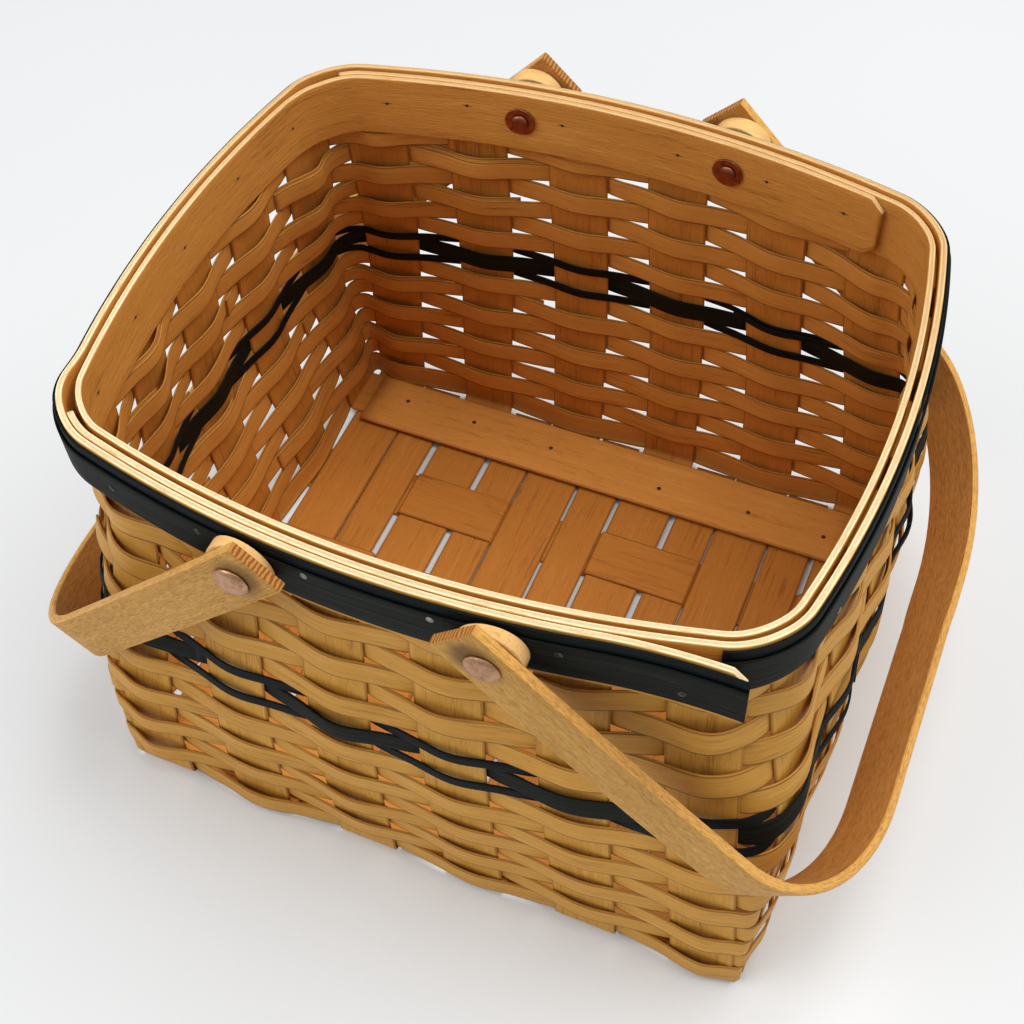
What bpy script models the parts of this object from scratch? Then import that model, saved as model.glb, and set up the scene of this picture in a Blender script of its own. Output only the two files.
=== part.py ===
"""Rectangular splint basket with two swinging bail handles, built as separate pieces.

Frame: +X along the long walls, +Y from the front wall to the back wall, +Z up.
The origin is under the middle of the base. All lengths are metres.
"""

import math

import bpy
import bmesh
from mathutils import Vector

# fit between touching pieces
clearance = 0.0003
splint_clearance = 0.0003

# splints of the base and the uprights
upright_width = 0.0290
slit_width = 0.0019
upright_thickness = 0.0012
base_margin_long = 0.0035
base_margin_short = 0.0050
filler_end_inset = 0.0020

# wall shape
base_length_share = 1.098
base_depth_share = 1.2438
base_corner_radius = 0.0025
rim_half_length = 0.1414
rim_half_depth = 0.1091
rim_corner_radius = 0.0180
rim_bow_long_share = 0.097
rim_bow_deep_share = 0.193
belly_long = 0.0035
belly_short = 0.0070
long_pitch_share = 0.3451
short_pitch_share = 0.4125
bend_radius_long = 0.0036
bend_radius_cross = 0.0021

# weaving
weaver_thickness = 0.0010
weaver_arch = 0.0009
row_gap = 0.0003
row_start_height = 0.0058
navy_pitch = 0.0057
green_pitch = 0.0120
top_row_share = 0.75
natural_rows_below = 8
natural_rows_above = 5

# rim
rim_height = 0.2415
band_width = 0.0310
inner_band_drop = 0.0005
inner_band_thickness = 0.0025
outer_band_thickness = 0.0027
navy_trim_width = 0.0275
green_trim_width = 0.0178
trim_thickness = 0.0010
trim_drop = 0.0012
upright_drop = 0.0065
inner_end_clip = 0.0060
lap_tail_length = 0.0555
lap_tail_splay = 0.0064
lap_tail_chamfer = 0.0050
trim_overhang = 0.0010

# base boards
board_width = 0.0340
board_thickness = 0.0025
board_end_inset = 0.0123
board_shift = -0.0030
board_edge_inset = 0.0064

# handles
pivot_drop = 0.0145
spacer_thickness = 0.0048
handle_width = 0.0246
handle_thickness = 0.0044
handle_edge_round = 0.0008
handle_reach = 0.2015
handle_end = 0.0160
front_bend_along = 0.0670
front_bend_across = 0.0710
back_bend_along = 0.0600
back_bend_across = 0.0940
arm_draw_in = 0.0022
handle_gap = 0.0006

# rivets, washers and spacers
rivet_shank_radius = 0.0025
rivet_head_radius = 0.0072
rivet_head_height = 0.0028
rivet_tail_radius = 0.0038
rivet_tail_height = 0.0014
washer_radius = 0.0070
washer_thickness = 0.0010
spacer_radius = 0.0135

# where the bands start and end, counted in half sides round the rim:
# 0 back left corner, 2 back right corner, 4 front right corner, 6 front left corner
inner_start = 0.04
inner_turn_end = 7.97
inner_turn_begin = 7.74
inner_finish = 9.86
outer_start = 5.98
outer_turn_begin = -1.72
outer_turn_end = -1.95
outer_leave = -3.57
trim_start = 4.12

# mesh steps
quarter_steps = 16
wall_steps = 12
bend_steps = 3
lathe_steps = 16
dome_steps = 3
tail_steps = 4
handle_bend_steps = 10
arm_steps = 3
angle_steps = 14
face_steps = 40

# sizes that follow from the ones above
long_count = 6
cross_count = 5
wall_half_length = rim_half_length * base_length_share
wall_half_depth = rim_half_depth * base_depth_share
outer_strip_middle = wall_half_length - base_margin_long - upright_width / 2
outer_cross_middle = wall_half_depth - base_margin_short - upright_width / 2
strip_pitch = outer_strip_middle / ((long_count - 1) / 2)
cross_pitch = outer_cross_middle / ((cross_count - 1) / 2)
filler_width = strip_pitch - upright_width - 2 * slit_width
long_pitch_rim = rim_half_length * long_pitch_share
short_pitch_rim = rim_half_depth * short_pitch_share
half_splint = upright_thickness / 2
level_under = half_splint
level_strip = level_under + upright_thickness + clearance
level_over = level_strip + upright_thickness + clearance
board_bottom = level_over + half_splint + clearance
inner_band_top = rim_height - inner_band_drop
inner_band_bottom = inner_band_top - band_width
outer_band_bottom = rim_height - band_width
weave_top = inner_band_bottom - clearance
rows_height = weave_top - row_start_height - 2 * navy_pitch - green_pitch
natural_pitch = rows_height / (natural_rows_below + natural_rows_above + top_row_share)
upright_top = rim_height - upright_drop
ply_gap = half_splint + clearance
pass_offset = half_splint + splint_clearance + weaver_thickness / 2
weave_reach = pass_offset + weaver_arch + weaver_thickness / 2
board_half_length = wall_half_length - board_end_inset
pivot_height = rim_height - pivot_drop
pivot_offset = long_pitch_rim
SIDES = ("back", "right", "front", "left")
CORNER_SHARES = (0.0, 0.05, 0.10, 0.15, 0.20)
MIDDLE_SHARES = (0.30, 0.42, 0.54, 0.66, 0.78, 0.89, 1.0, 1.11, 1.22, 1.34, 1.46, 1.58, 1.70)

COLOURS = {
    "natural": (0.62, 0.38, 0.16),
    "rim": (0.70, 0.45, 0.20),
    "handle": (0.60, 0.34, 0.13),
    "navy": (0.012, 0.020, 0.032),
    "green": (0.028, 0.032, 0.018),
    "copper": (0.48, 0.20, 0.10),
}


def clear_scene():
    for item in list(bpy.data.objects):
        bpy.data.objects.remove(item, do_unlink=True)


def material_for(name, colour_key):
    material = bpy.data.materials.new(name + "_material")
    material.use_nodes = True
    shader = material.node_tree.nodes["Principled BSDF"]
    red, green, blue = COLOURS[colour_key]
    is_metal = colour_key == "copper"
    shader.inputs["Base Color"].default_value = (red, green, blue, 1.0)
    shader.inputs["Roughness"].default_value = 0.35 if is_metal else 0.6
    shader.inputs["Metallic"].default_value = 1.0 if is_metal else 0.0
    return material


def make_object(name, verts, faces, colour_key, smooth_faces=()):
    """One named piece from vertex and face lists, faces turned outward."""
    mesh = bpy.data.meshes.new(name)
    mesh.from_pydata([tuple(v) for v in verts], [], faces)
    for index in smooth_faces:
        mesh.polygons[index].use_smooth = True
    work = bmesh.new()
    work.from_mesh(mesh)
    bmesh.ops.recalc_face_normals(work, faces=work.faces)
    work.to_mesh(mesh)
    work.free()
    piece = bpy.data.objects.new(name, mesh)
    bpy.context.scene.collection.objects.link(piece)
    mesh.materials.append(material_for(name, colour_key))
    return piece


def move_origin(piece, point):
    """Puts the piece's origin at the point and keeps its shape where it is."""
    for vertex in piece.data.vertices:
        vertex.co = vertex.co - point
    piece.location = point


# wall surface

def rise_share(z):
    """0 at the base, 1 at the top of the weave, with level ends."""
    t = min(max(z / weave_top, 0.0), 1.0)
    return t * t * (3 - 2 * t)


def belly_share(z):
    """0 at the base and at the top of the weave, 1 halfway."""
    t = min(max(z / weave_top, 0.0), 1.0)
    return math.sin(math.pi * t) ** 2


def blend(start, end, share):
    return start + (end - start) * share


QUARTERS = {}


def quarter_curve(z):
    """Points from the middle of a long side to the middle of a short side at height z."""
    if z in QUARTERS:
        return QUARTERS[z]
    share = rise_share(z)
    swell = belly_share(z)
    half_x = blend(wall_half_length, rim_half_length, share) + belly_short * swell
    half_y = blend(wall_half_depth, rim_half_depth, share) + belly_long * swell
    radius = blend(base_corner_radius, rim_corner_radius, share)
    bow_x = rim_bow_long_share * share
    bow_y = rim_bow_deep_share * share
    flat = []
    for i in range(quarter_steps):
        flat.append(((half_x - radius) * i / quarter_steps, half_y))
    middle = len(flat) + quarter_steps // 2
    for i in range(quarter_steps + 1):
        angle = math.pi / 2 * i / quarter_steps
        flat.append((half_x - radius + radius * math.sin(angle),
                     half_y - radius + radius * math.cos(angle)))
    for i in range(1, quarter_steps + 1):
        flat.append((half_x, (half_y - radius) * (1 - i / quarter_steps)))
    points = []
    for x, y in flat:
        points.append((x * (1 + bow_x * (1 - (y / half_y) ** 2)),
                       y * (1 + bow_y * (1 - (x / half_x) ** 2))))
    distances = [0.0]
    for first, second in zip(points, points[1:]):
        distances.append(distances[-1] + math.dist(first, second))
    normals = []
    last = len(points) - 1
    for i in range(len(points)):
        before = points[max(i - 1, 0)]
        after = points[min(i + 1, last)]
        along = Vector((after[0] - before[0], after[1] - before[1])).normalized()
        normals.append(Vector((-along.y, along.x)))
    normals[0] = Vector((0.0, 1.0))
    normals[last] = Vector((1.0, 0.0))
    QUARTERS[z] = (points, distances, normals, distances[middle])
    return QUARTERS[z]


def half_side(side, z):
    """Length along the wall from the middle of a side to the middle of its corner."""
    points, distances, normals, corner = quarter_curve(z)
    if side in ("back", "front"):
        return corner
    return distances[-1] - corner


def wall_point(side, along, z):
    """Point and outward normal on the middle of the wall, along = way from the side's middle.

    The sides follow each other clockwise seen from above: back, right, front, left.
    """
    points, distances, normals, corner = quarter_curve(z)
    total = distances[-1]
    way = abs(along) if side in ("back", "front") else total - abs(along)
    way = min(max(way, 0.0), total)
    index = 0
    while index < len(distances) - 2 and distances[index + 1] < way:
        index += 1
    share = (way - distances[index]) / (distances[index + 1] - distances[index])
    x = blend(points[index][0], points[index + 1][0], share)
    y = blend(points[index][1], points[index + 1][1], share)
    normal = normals[index].lerp(normals[index + 1], share).normalized()
    forward = 1 if along >= 0 else -1
    turn = {"back": (forward, 1), "right": (1, -forward),
            "front": (-forward, -1), "left": (-1, forward)}[side]
    return (Vector((x * turn[0], y * turn[1], z)),
            Vector((normal.x * turn[0], normal.y * turn[1], 0.0)))


def upright_place(side, index, z):
    """Way along the side of the middle of an upright at height z."""
    if side in ("back", "front"):
        pitch = blend(strip_pitch, long_pitch_rim, rise_share(z))
        return (index - (long_count - 1) / 2) * pitch
    pitch = blend(cross_pitch, short_pitch_rim, rise_share(z))
    return (index - (cross_count - 1) / 2) * pitch


def column_shares(side, index):
    """Where the columns of an upright lie across its width, more of them near a corner."""
    count = long_count if side in ("back", "front") else cross_count
    if index == 0:
        return (-0.5, -0.25, 0.0, 0.5)
    if index == count - 1:
        return (-0.5, 0.0, 0.25, 0.5)
    return (-0.5, 0.0, 0.5)


# ribbons

def grid_piece(name, inner, outer, colour_key, closed):
    """Closed body between two grids of points [station][column]."""
    stations = len(inner)
    columns = len(inner[0])
    verts = []
    for row in inner:
        verts.extend(row)
    for row in outer:
        verts.extend(row)
    shift = stations * columns

    def at(station, column, layer):
        return (station % stations) * columns + column + layer * shift

    faces = []
    smooth = []
    spans = stations if closed else stations - 1
    for s in range(spans):
        for c in range(columns - 1):
            smooth.append(len(faces))
            faces.append((at(s, c, 0), at(s, c + 1, 0), at(s + 1, c + 1, 0), at(s + 1, c, 0)))
            smooth.append(len(faces))
            faces.append((at(s, c, 1), at(s + 1, c, 1), at(s + 1, c + 1, 1), at(s, c + 1, 1)))
        faces.append((at(s, 0, 0), at(s + 1, 0, 0), at(s + 1, 0, 1), at(s, 0, 1)))
        top = columns - 1
        faces.append((at(s, top, 0), at(s, top, 1), at(s + 1, top, 1), at(s + 1, top, 0)))
    if not closed:
        last = stations - 1
        for c in range(columns - 1):
            faces.append((at(0, c, 0), at(0, c, 1), at(0, c + 1, 1), at(0, c + 1, 0)))
            faces.append((at(last, c, 0), at(last, c + 1, 0), at(last, c + 1, 1), at(last, c, 1)))
    return make_object(name, verts, faces, colour_key, smooth)


def wall_station(side, low, high, low_way, high_way, offset):
    """Lower and upper (point, normal) pair at this offset from the middle of the wall."""
    pairs = []
    for z, way in ((low, low_way), (high, high_way)):
        point, normal = wall_point(side, way, z)
        pairs.append((point + normal * offset, normal))
    return pairs


def wall_band(name, stations, thickness, colour_key, closed):
    """A band from its stations of lower and upper (middle point, outward normal) pairs."""
    inner = []
    outer = []
    for pairs in stations:
        inner.append([point - normal * thickness / 2 for point, normal in pairs])
        outer.append([point + normal * thickness / 2 for point, normal in pairs])
    return grid_piece(name, inner, outer, colour_key, closed)


# weaving

def row_levels():
    """Height of the lower edge, height and colour of every row, bottom row first."""
    pitches = [(natural_pitch, "natural")] * natural_rows_below
    pitches += [(navy_pitch, "navy"), (green_pitch, "green"), (navy_pitch, "navy")]
    pitches += [(natural_pitch, "natural")] * natural_rows_above
    pitches += [(natural_pitch * top_row_share, "natural")]
    levels = []
    low = row_start_height
    for pitch, colour_key in pitches:
        levels.append((low, pitch - row_gap, colour_key))
        low += pitch
    return levels


def weaver_stations(low, high, inside_first):
    """Stations of one closed hoop that passes in and out of the uprights in turn."""
    stations = []
    order = 0
    for side in SIDES:
        count = long_count if side in ("back", "front") else cross_count
        stations.append(wall_station(side, low, high, -half_side(side, low),
                                     -half_side(side, high), 0.0))
        for index in range(count):
            inside = (order % 2 == 0) == inside_first
            sign = -1 if inside else 1
            for column in column_shares(side, index):
                arch = weaver_arch * (1 - (2 * column) ** 2)
                offset = sign * (pass_offset + arch)
                low_way = upright_place(side, index, low) + column * upright_width
                high_way = upright_place(side, index, high) + column * upright_width
                stations.append(wall_station(side, low, high, low_way, high_way, offset))
            order += 1
    return stations


def build_weavers():
    levels = row_levels()
    count = len(levels)
    pieces = []
    for number in range(1, count + 1):
        low, height, colour_key = levels[count - number]
        inside_first = number % 2 == 1
        stations = weaver_stations(low, low + height, inside_first)
        name = "weaver_%02d_%s" % (number, colour_key)
        pieces.append(wall_band(name, stations, weaver_thickness, colour_key, True))
    return pieces


# uprights

def climbing_column(side, index, column, start_level, radius, heights):
    """Points and normals of one column from the end of the base run up the wall."""
    top = start_level + radius
    foot, foot_normal = wall_point(side, upright_place(side, index, top)
                                   + column * upright_width, top)
    run = []
    for i in range(bend_steps):
        angle = math.pi / 2 * i / bend_steps
        inward = radius - radius * math.sin(angle)
        place = foot - foot_normal * inward
        place.z = start_level + radius - radius * math.cos(angle)
        normal = foot_normal * math.sin(angle)
        normal.z = -math.cos(angle)
        run.append((place, normal))
    run.append((foot, foot_normal))
    for z in heights:
        way = upright_place(side, index, z) + column * upright_width
        run.append(wall_point(side, way, z))
    return run


def wall_heights(start):
    steps = [blend(start, weave_top, i / wall_steps) for i in range(1, wall_steps + 1)]
    return steps + [upright_top]


def strap(name, columns):
    """A splint from its columns of (middle point, outward normal) pairs."""
    inner = []
    outer = []
    for station in range(len(columns[0])):
        inner_row = []
        outer_row = []
        for column in columns:
            point, normal = column[station]
            inner_row.append(point - normal * half_splint)
            outer_row.append(point + normal * half_splint)
        inner.append(inner_row)
        outer.append(outer_row)
    return grid_piece(name, inner, outer, "natural", False)


def build_long_uprights():
    """Splints that run up the front wall, under the base and up the back wall."""
    pieces = []
    heights = wall_heights(level_strip + bend_radius_long)
    for index in range(long_count):
        columns = []
        for column in column_shares("back", index):
            back = climbing_column("back", index, column, level_strip,
                                   bend_radius_long, heights)
            front = climbing_column("front", long_count - 1 - index, -column,
                                    level_strip, bend_radius_long, heights)
            columns.append(list(reversed(front)) + back)
        pieces.append(strap("upright_long_%d" % (index + 1), columns))
    return pieces


def cross_is_over(cross_index, pair_index):
    return (cross_index + pair_index) % 2 == 0


def step_places():
    """X of the slits at which the cross splints change level, left to right."""
    places = []
    for index in range(1, long_count):
        centre = (index - (long_count - 1) / 2) * strip_pitch
        places.append(centre - upright_width / 2 - slit_width / 2)
    return places


def build_cross_uprights():
    """Splints that run up the left wall, through the base strips and up the right wall."""
    pieces = []
    for index in range(cross_count):
        levels = []
        for pair in range(long_count):
            levels.append(level_over if cross_is_over(index, pair) else level_under)
        columns = []
        start_left = levels[0]
        start_right = levels[-1]
        heights_left = wall_heights(start_left + bend_radius_cross)
        heights_right = wall_heights(start_right + bend_radius_cross)
        for column in column_shares("right", index):
            left = climbing_column("left", cross_count - 1 - index, -column, start_left,
                                   bend_radius_cross, heights_left)
            right = climbing_column("right", index, column, start_right,
                                    bend_radius_cross, heights_right)
            y = left[0][0].y
            middle = []
            for place, before, after in zip(step_places(), levels, levels[1:]):
                climb = 1 if after > before else -1
                mitre = Vector((climb, 0.0, -1.0))
                middle.append((Vector((place, y, before)), mitre))
                middle.append((Vector((place, y, after)), mitre))
            columns.append(list(reversed(left)) + middle + right)
        pieces.append(strap("upright_cross_%d" % (index + 1), columns))
    return pieces


def box_piece(name, low, high, colour_key):
    verts = []
    for z in (low[2], high[2]):
        verts.extend([(low[0], low[1], z), (high[0], low[1], z),
                      (high[0], high[1], z), (low[0], high[1], z)])
    faces = [(0, 3, 2, 1), (4, 5, 6, 7), (0, 1, 5, 4), (1, 2, 6, 5), (2, 3, 7, 6), (3, 0, 4, 7)]
    return make_object(name, verts, faces, colour_key)


def build_fillers():
    """Short strips between the long uprights, base only."""
    pieces = []
    reach = wall_half_depth - filler_end_inset
    for index in range(long_count - 1):
        centre = (index - (long_count - 2) / 2) * strip_pitch
        low = (centre - filler_width / 2, -reach, level_strip - half_splint)
        high = (centre + filler_width / 2, reach, level_strip + half_splint)
        pieces.append(box_piece("base_filler_%d" % (index + 1), low, high, "natural"))
    return pieces


def build_boards():
    """Two boards that lie on the base along the back and the front edge."""
    pieces = []
    outer_edge = wall_half_depth - board_edge_inset
    inner_edge = outer_edge - board_width
    for name, sign in (("back", 1), ("front", -1)):
        edges = sorted((sign * inner_edge, sign * outer_edge))
        low = (board_shift - board_half_length, edges[0], board_bottom)
        high = (board_shift + board_half_length, edges[1], board_bottom + board_thickness)
        pieces.append(box_piece("base_board_" + name, low, high, "natural"))
    return pieces


# rim

def rim_marks(start, finish, extra):
    """Marks from start to finish in half sides, close together at the corners."""
    low = min(start, finish)
    high = max(start, finish)
    marks = {low, high}
    marks.update(m for m in extra if low < m < high)
    first = math.floor(low / 2)
    last = math.ceil(high / 2)
    for side in range(first, last + 1):
        for share in CORNER_SHARES:
            marks.update((2 * side + share, 2 * side - share))
        for share in MIDDLE_SHARES:
            marks.add(2 * side + share)
    chosen = sorted(m for m in marks if low <= m <= high)
    if start > finish:
        chosen.reverse()
    return chosen


def share_between(mark, begin, end):
    """0 before begin, 1 after end, level at both."""
    t = min(max((mark - begin) / (end - begin), 0.0), 1.0)
    return t * t * (3 - 2 * t)


def rim_station(mark, offset, low, high):
    side = SIDES[math.floor(mark / 2) % len(SIDES)]
    share = mark % 2 - 1
    return wall_station(side, low, high, share * half_side(side, low),
                        share * half_side(side, high), offset)


def turn_marks(begin, end):
    return [blend(begin, end, share) for share in (0.0, 0.25, 0.5, 0.75, 1.0)]


def clip_way(mark):
    """Length of half a side in metres at the mark, at rim height."""
    side = SIDES[math.floor(mark / 2) % len(SIDES)]
    return half_side(side, rim_height)


def build_inner_band():
    """Inside band: one turn against the uprights, then a second ply along the back."""
    first = -(ply_gap + inner_band_thickness / 2)
    step = inner_band_thickness + clearance
    clip_mark = inner_finish - inner_end_clip / clip_way(inner_finish)
    stations = []
    for mark in rim_marks(inner_start, inner_finish,
                          turn_marks(inner_turn_begin, inner_turn_end) + [clip_mark]):
        offset = first - step * share_between(mark, inner_turn_begin, inner_turn_end)
        clip = inner_end_clip * max(0.0, mark - clip_mark) / (inner_finish - clip_mark)
        stations.append(rim_station(mark, offset, inner_band_bottom + clip,
                                    inner_band_top - clip))
    return wall_band("rim_band_inner", stations, inner_band_thickness, "rim", False)


def outer_offset(mark, first):
    step = outer_band_thickness + clearance
    return first + step * share_between(mark, outer_turn_begin, outer_turn_end)


def lap_tail(offset, low, high, length, chamfer):
    """Stations of the straight end of the lap, which leaves the rim along its tangent."""
    start, normal = rim_station(outer_leave, offset, low, high)[0]
    along = Vector((-normal.y, normal.x, 0.0))
    ways = [length * i / tail_steps for i in range(1, tail_steps)]
    ways += [length - chamfer, length]
    stations = []
    for way in ways:
        splay = lap_tail_splay * (way / lap_tail_length) ** 2
        place = start + along * way + normal * splay
        cut = max(0.0, way - length + chamfer)
        stations.append([(place, normal),
                         (place + Vector((0.0, 0.0, high - low - cut)), normal)])
    return stations


def lapped_stations(begin, first, low, high, length, chamfer):
    stations = []
    for mark in rim_marks(begin, outer_leave, turn_marks(outer_turn_begin, outer_turn_end)):
        stations.append(rim_station(mark, outer_offset(mark, first), low, high))
    return stations + lap_tail(outer_offset(outer_leave, first), low, high, length, chamfer)


def build_outer_band():
    """Outside band: one turn against the uprights, then a second ply along the front."""
    first = ply_gap + outer_band_thickness / 2
    stations = lapped_stations(outer_start, first, outer_band_bottom, rim_height,
                               lap_tail_length, lap_tail_chamfer)
    return wall_band("rim_band_outer", stations, outer_band_thickness, "rim", False)


def trim_offsets():
    """Offsets of the middles of the navy and the green trim on a single ply."""
    navy = ply_gap + outer_band_thickness + clearance + trim_thickness / 2
    return navy, navy + trim_thickness + clearance


def build_trim(name, width, first, colour_key):
    middle = rim_height - trim_drop - navy_trim_width / 2
    stations = lapped_stations(trim_start, first, middle - width / 2, middle + width / 2,
                               lap_tail_length + trim_overhang, trim_overhang)
    return wall_band(name, stations, trim_thickness, colour_key, False)


def build_trims():
    navy, green = trim_offsets()
    return [build_trim("trim_navy", navy_trim_width, navy, "navy"),
            build_trim("trim_green", green_trim_width, green, "green")]


# rivets, washers, spacers and handles

def rim_face(x, offset):
    """Distance from the middle plane of a face at this offset from the wall, at this x."""
    low = 0.0
    high = half_side("back", rim_height)
    for _ in range(face_steps):
        way = (low + high) / 2
        point, normal = wall_point("back", way, rim_height)
        if point.x + normal.x * offset < abs(x):
            low = way
        else:
            high = way
    return point.y + normal.y * offset


def lathe_piece(name, centre_x, out, rings, colour_key, hole):
    """Round piece about an axis along Y through the pivot.

    Each ring is (radius, function of x that gives the distance from the middle plane).
    With a hole the rings close on themselves, without one both ends close to a point.
    """
    verts = []
    faces = []
    smooth = []
    for radius, place in rings:
        for i in range(lathe_steps):
            angle = 2 * math.pi * i / lathe_steps
            x = centre_x + radius * math.cos(angle)
            z = pivot_height + radius * math.sin(angle)
            verts.append((x, out * place(x), z))
    count = len(rings)
    spans = count if hole else count - 1
    for r in range(spans):
        for i in range(lathe_steps):
            j = (i + 1) % lathe_steps
            a = r * lathe_steps
            b = (r + 1) % count * lathe_steps
            smooth.append(len(faces))
            faces.append((a + i, a + j, b + j, b + i))
    if not hole:
        faces.append(tuple(reversed(range(lathe_steps))))
        start = (count - 1) * lathe_steps
        faces.append(tuple(range(start, start + lathe_steps)))
    return make_object(name, verts, faces, colour_key, smooth)


def stack_faces(out):
    """Offsets of the outer face of the trims and the inner face of the inner band."""
    navy, green = trim_offsets()
    outside = green + trim_thickness / 2
    inside = -(ply_gap + inner_band_thickness)
    if out < 0:
        outside += outer_band_thickness + clearance
    else:
        inside -= inner_band_thickness + clearance
    return outside, inside


def arm_face():
    """Distance of the outer face of the handle arms from the middle plane."""
    outside, inside = stack_faces(-1)
    stack = rim_face(pivot_offset, outside) + clearance + spacer_thickness + clearance
    return stack + handle_thickness


def build_spacer(name, centre_x, out):
    outside, inside = stack_faces(out)
    near = outside + clearance
    far = arm_face() - handle_thickness - clearance
    hole = rivet_shank_radius + clearance
    rings = [(hole, lambda x: rim_face(x, near)),
             (spacer_radius, lambda x: rim_face(x, near)),
             (spacer_radius, lambda x: far),
             (hole, lambda x: far)]
    return lathe_piece(name, centre_x, out, rings, "handle", True)


def build_washer(name, centre_x, out):
    outside, inside = stack_faces(out)
    near = inside - clearance
    far = near - washer_thickness
    hole = rivet_shank_radius + clearance
    rings = [(hole, lambda x: rim_face(x, near)),
             (hole, lambda x: rim_face(x, far)),
             (washer_radius, lambda x: rim_face(x, far)),
             (washer_radius, lambda x: rim_face(x, near))]
    return lathe_piece(name, centre_x, out, rings, "copper", True)


def build_rivet(name, centre_x, out):
    outside, inside = stack_faces(out)
    seat = inside - washer_thickness - 2 * clearance
    head_base = arm_face() + clearance
    rings = []
    for i in range(dome_steps):
        angle = math.pi / 2 * (i + 1) / (dome_steps + 1)
        height = rivet_tail_height * math.cos(angle)
        radius = rivet_tail_radius * math.sin(angle)
        rings.append((radius, lambda x, h=height: rim_face(x, seat - h)))
    rings.append((rivet_tail_radius, lambda x: rim_face(x, seat)))
    rings.append((rivet_shank_radius, lambda x: rim_face(x, seat)))
    rings.append((rivet_shank_radius, lambda x: head_base))
    rings.append((rivet_head_radius, lambda x: head_base))
    for i in range(dome_steps):
        angle = math.pi / 2 * (i + 1) / (dome_steps + 1)
        height = rivet_head_height * math.sin(angle)
        radius = rivet_head_radius * math.cos(angle)
        rings.append((radius, lambda x, h=height: head_base + h))
    return lathe_piece(name, centre_x, out, rings, "copper", False)


def half_handle_path(bend_along, bend_across):
    """Middle line of one arm and its bend: (reach from the pivot line, way from the middle)."""
    middle_y = arm_face() - handle_thickness / 2
    middle_reach = handle_reach - handle_thickness / 2
    straight = middle_reach - bend_along
    path = [(-handle_end, middle_y), (0.0, middle_y)]
    for i in range(1, arm_steps + 1):
        share = i / arm_steps
        path.append((straight * share, middle_y - arm_draw_in * share * share))
    drawn = middle_y - arm_draw_in
    for i in range(1, handle_bend_steps + 1):
        angle = math.pi / 2 * i / handle_bend_steps
        path.append((straight + bend_along * math.sin(angle),
                     drawn - bend_across * (1 - math.cos(angle))))
    return path


def handle_path():
    """Middle line of the bent band from the end of the front arm to that of the back arm."""
    front = half_handle_path(front_bend_along, front_bend_across)
    back = half_handle_path(back_bend_along, back_bend_across)
    return [(reach, -y) for reach, y in front] + list(reversed(back))


def section_corners():
    """Corners of the handle's section: (outward, across) with eased edges."""
    half_t = handle_thickness / 2
    half_w = handle_width / 2
    ease = handle_edge_round
    return [(half_t, half_w - ease), (half_t - ease, half_w), (-half_t + ease, half_w),
            (-half_t, half_w - ease), (-half_t, -half_w + ease), (-half_t + ease, -half_w),
            (half_t - ease, -half_w), (half_t, -half_w + ease)]


def handle_rings(fold):
    """Corners of every section of the right handle, folded down by this angle."""
    path = handle_path()
    reach_way = Vector((math.cos(fold), 0.0, -math.sin(fold)))
    across_way = Vector((math.sin(fold), 0.0, math.cos(fold)))
    pivot = Vector((pivot_offset, 0.0, pivot_height))
    last = len(path) - 1
    rings = []
    for i, (reach, y) in enumerate(path):
        before = path[max(i - 1, 0)]
        after = path[min(i + 1, last)]
        along = Vector((after[0] - before[0], after[1] - before[1])).normalized()
        ring = []
        for outward, across in section_corners():
            place = pivot + reach_way * (reach + along.y * outward) + across_way * across
            place.y += y - along.x * outward
            ring.append(place)
        rings.append(ring)
    return rings


def clears_weave(place):
    """True if the point is outside the weave by the handle gap."""
    points, distances, normals, corner = quarter_curve(place.z)
    flat = Vector((abs(place.x), abs(place.y)))
    nearest = min(range(len(points)), key=lambda i: (flat - Vector(points[i])).length)
    apart = (flat - Vector(points[nearest])).dot(normals[nearest])
    return apart > weave_reach + handle_gap


def rest_angle():
    """Angle at which a handle that is let down comes to rest on the weave."""
    low = 0.0
    high = math.pi / 2
    for _ in range(angle_steps):
        middle = (low + high) / 2
        if all(clears_weave(place) for ring in handle_rings(middle) for place in ring):
            low = middle
        else:
            high = middle
    return low


def build_handle(name, side_sign, fold):
    """Bent band with its arms outside the rim, folded down on its own side."""
    verts = []
    rings = handle_rings(fold)
    for ring in rings:
        for place in ring:
            verts.append(Vector((side_sign * place.x, place.y, place.z)))
    last = len(rings) - 1
    count = len(rings[0])
    faces = []
    for i in range(last):
        for k in range(count):
            j = (k + 1) % count
            faces.append((i * count + k, i * count + j, (i + 1) * count + j, (i + 1) * count + k))
    smooth = list(range(len(faces)))
    faces.append(tuple(reversed(range(count))))
    faces.append(tuple(range(last * count, last * count + count)))
    piece = make_object(name, verts, faces, "handle", smooth)
    move_origin(piece, Vector((side_sign * pivot_offset, 0.0, pivot_height)))
    return piece


def build_cutter(name, centre_x):
    """Guide rod for the rivet holes, as long as the basket is deep with its handles."""
    reach = arm_face() + rivet_head_height + rivet_head_radius
    radius = rivet_shank_radius + clearance
    rings = [(radius, lambda x: -reach), (radius, lambda x: reach)]
    cutter = lathe_piece(name, centre_x, 1, rings, "copper", False)
    cutter.hide_render = True
    cutter.display_type = "WIRE"
    return cutter


def drill(piece, cutters):
    for cutter in cutters:
        hole = piece.modifiers.new("hole_" + cutter.name, "BOOLEAN")
        hole.operation = "DIFFERENCE"
        hole.solver = "EXACT"
        hole.object = cutter


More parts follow.
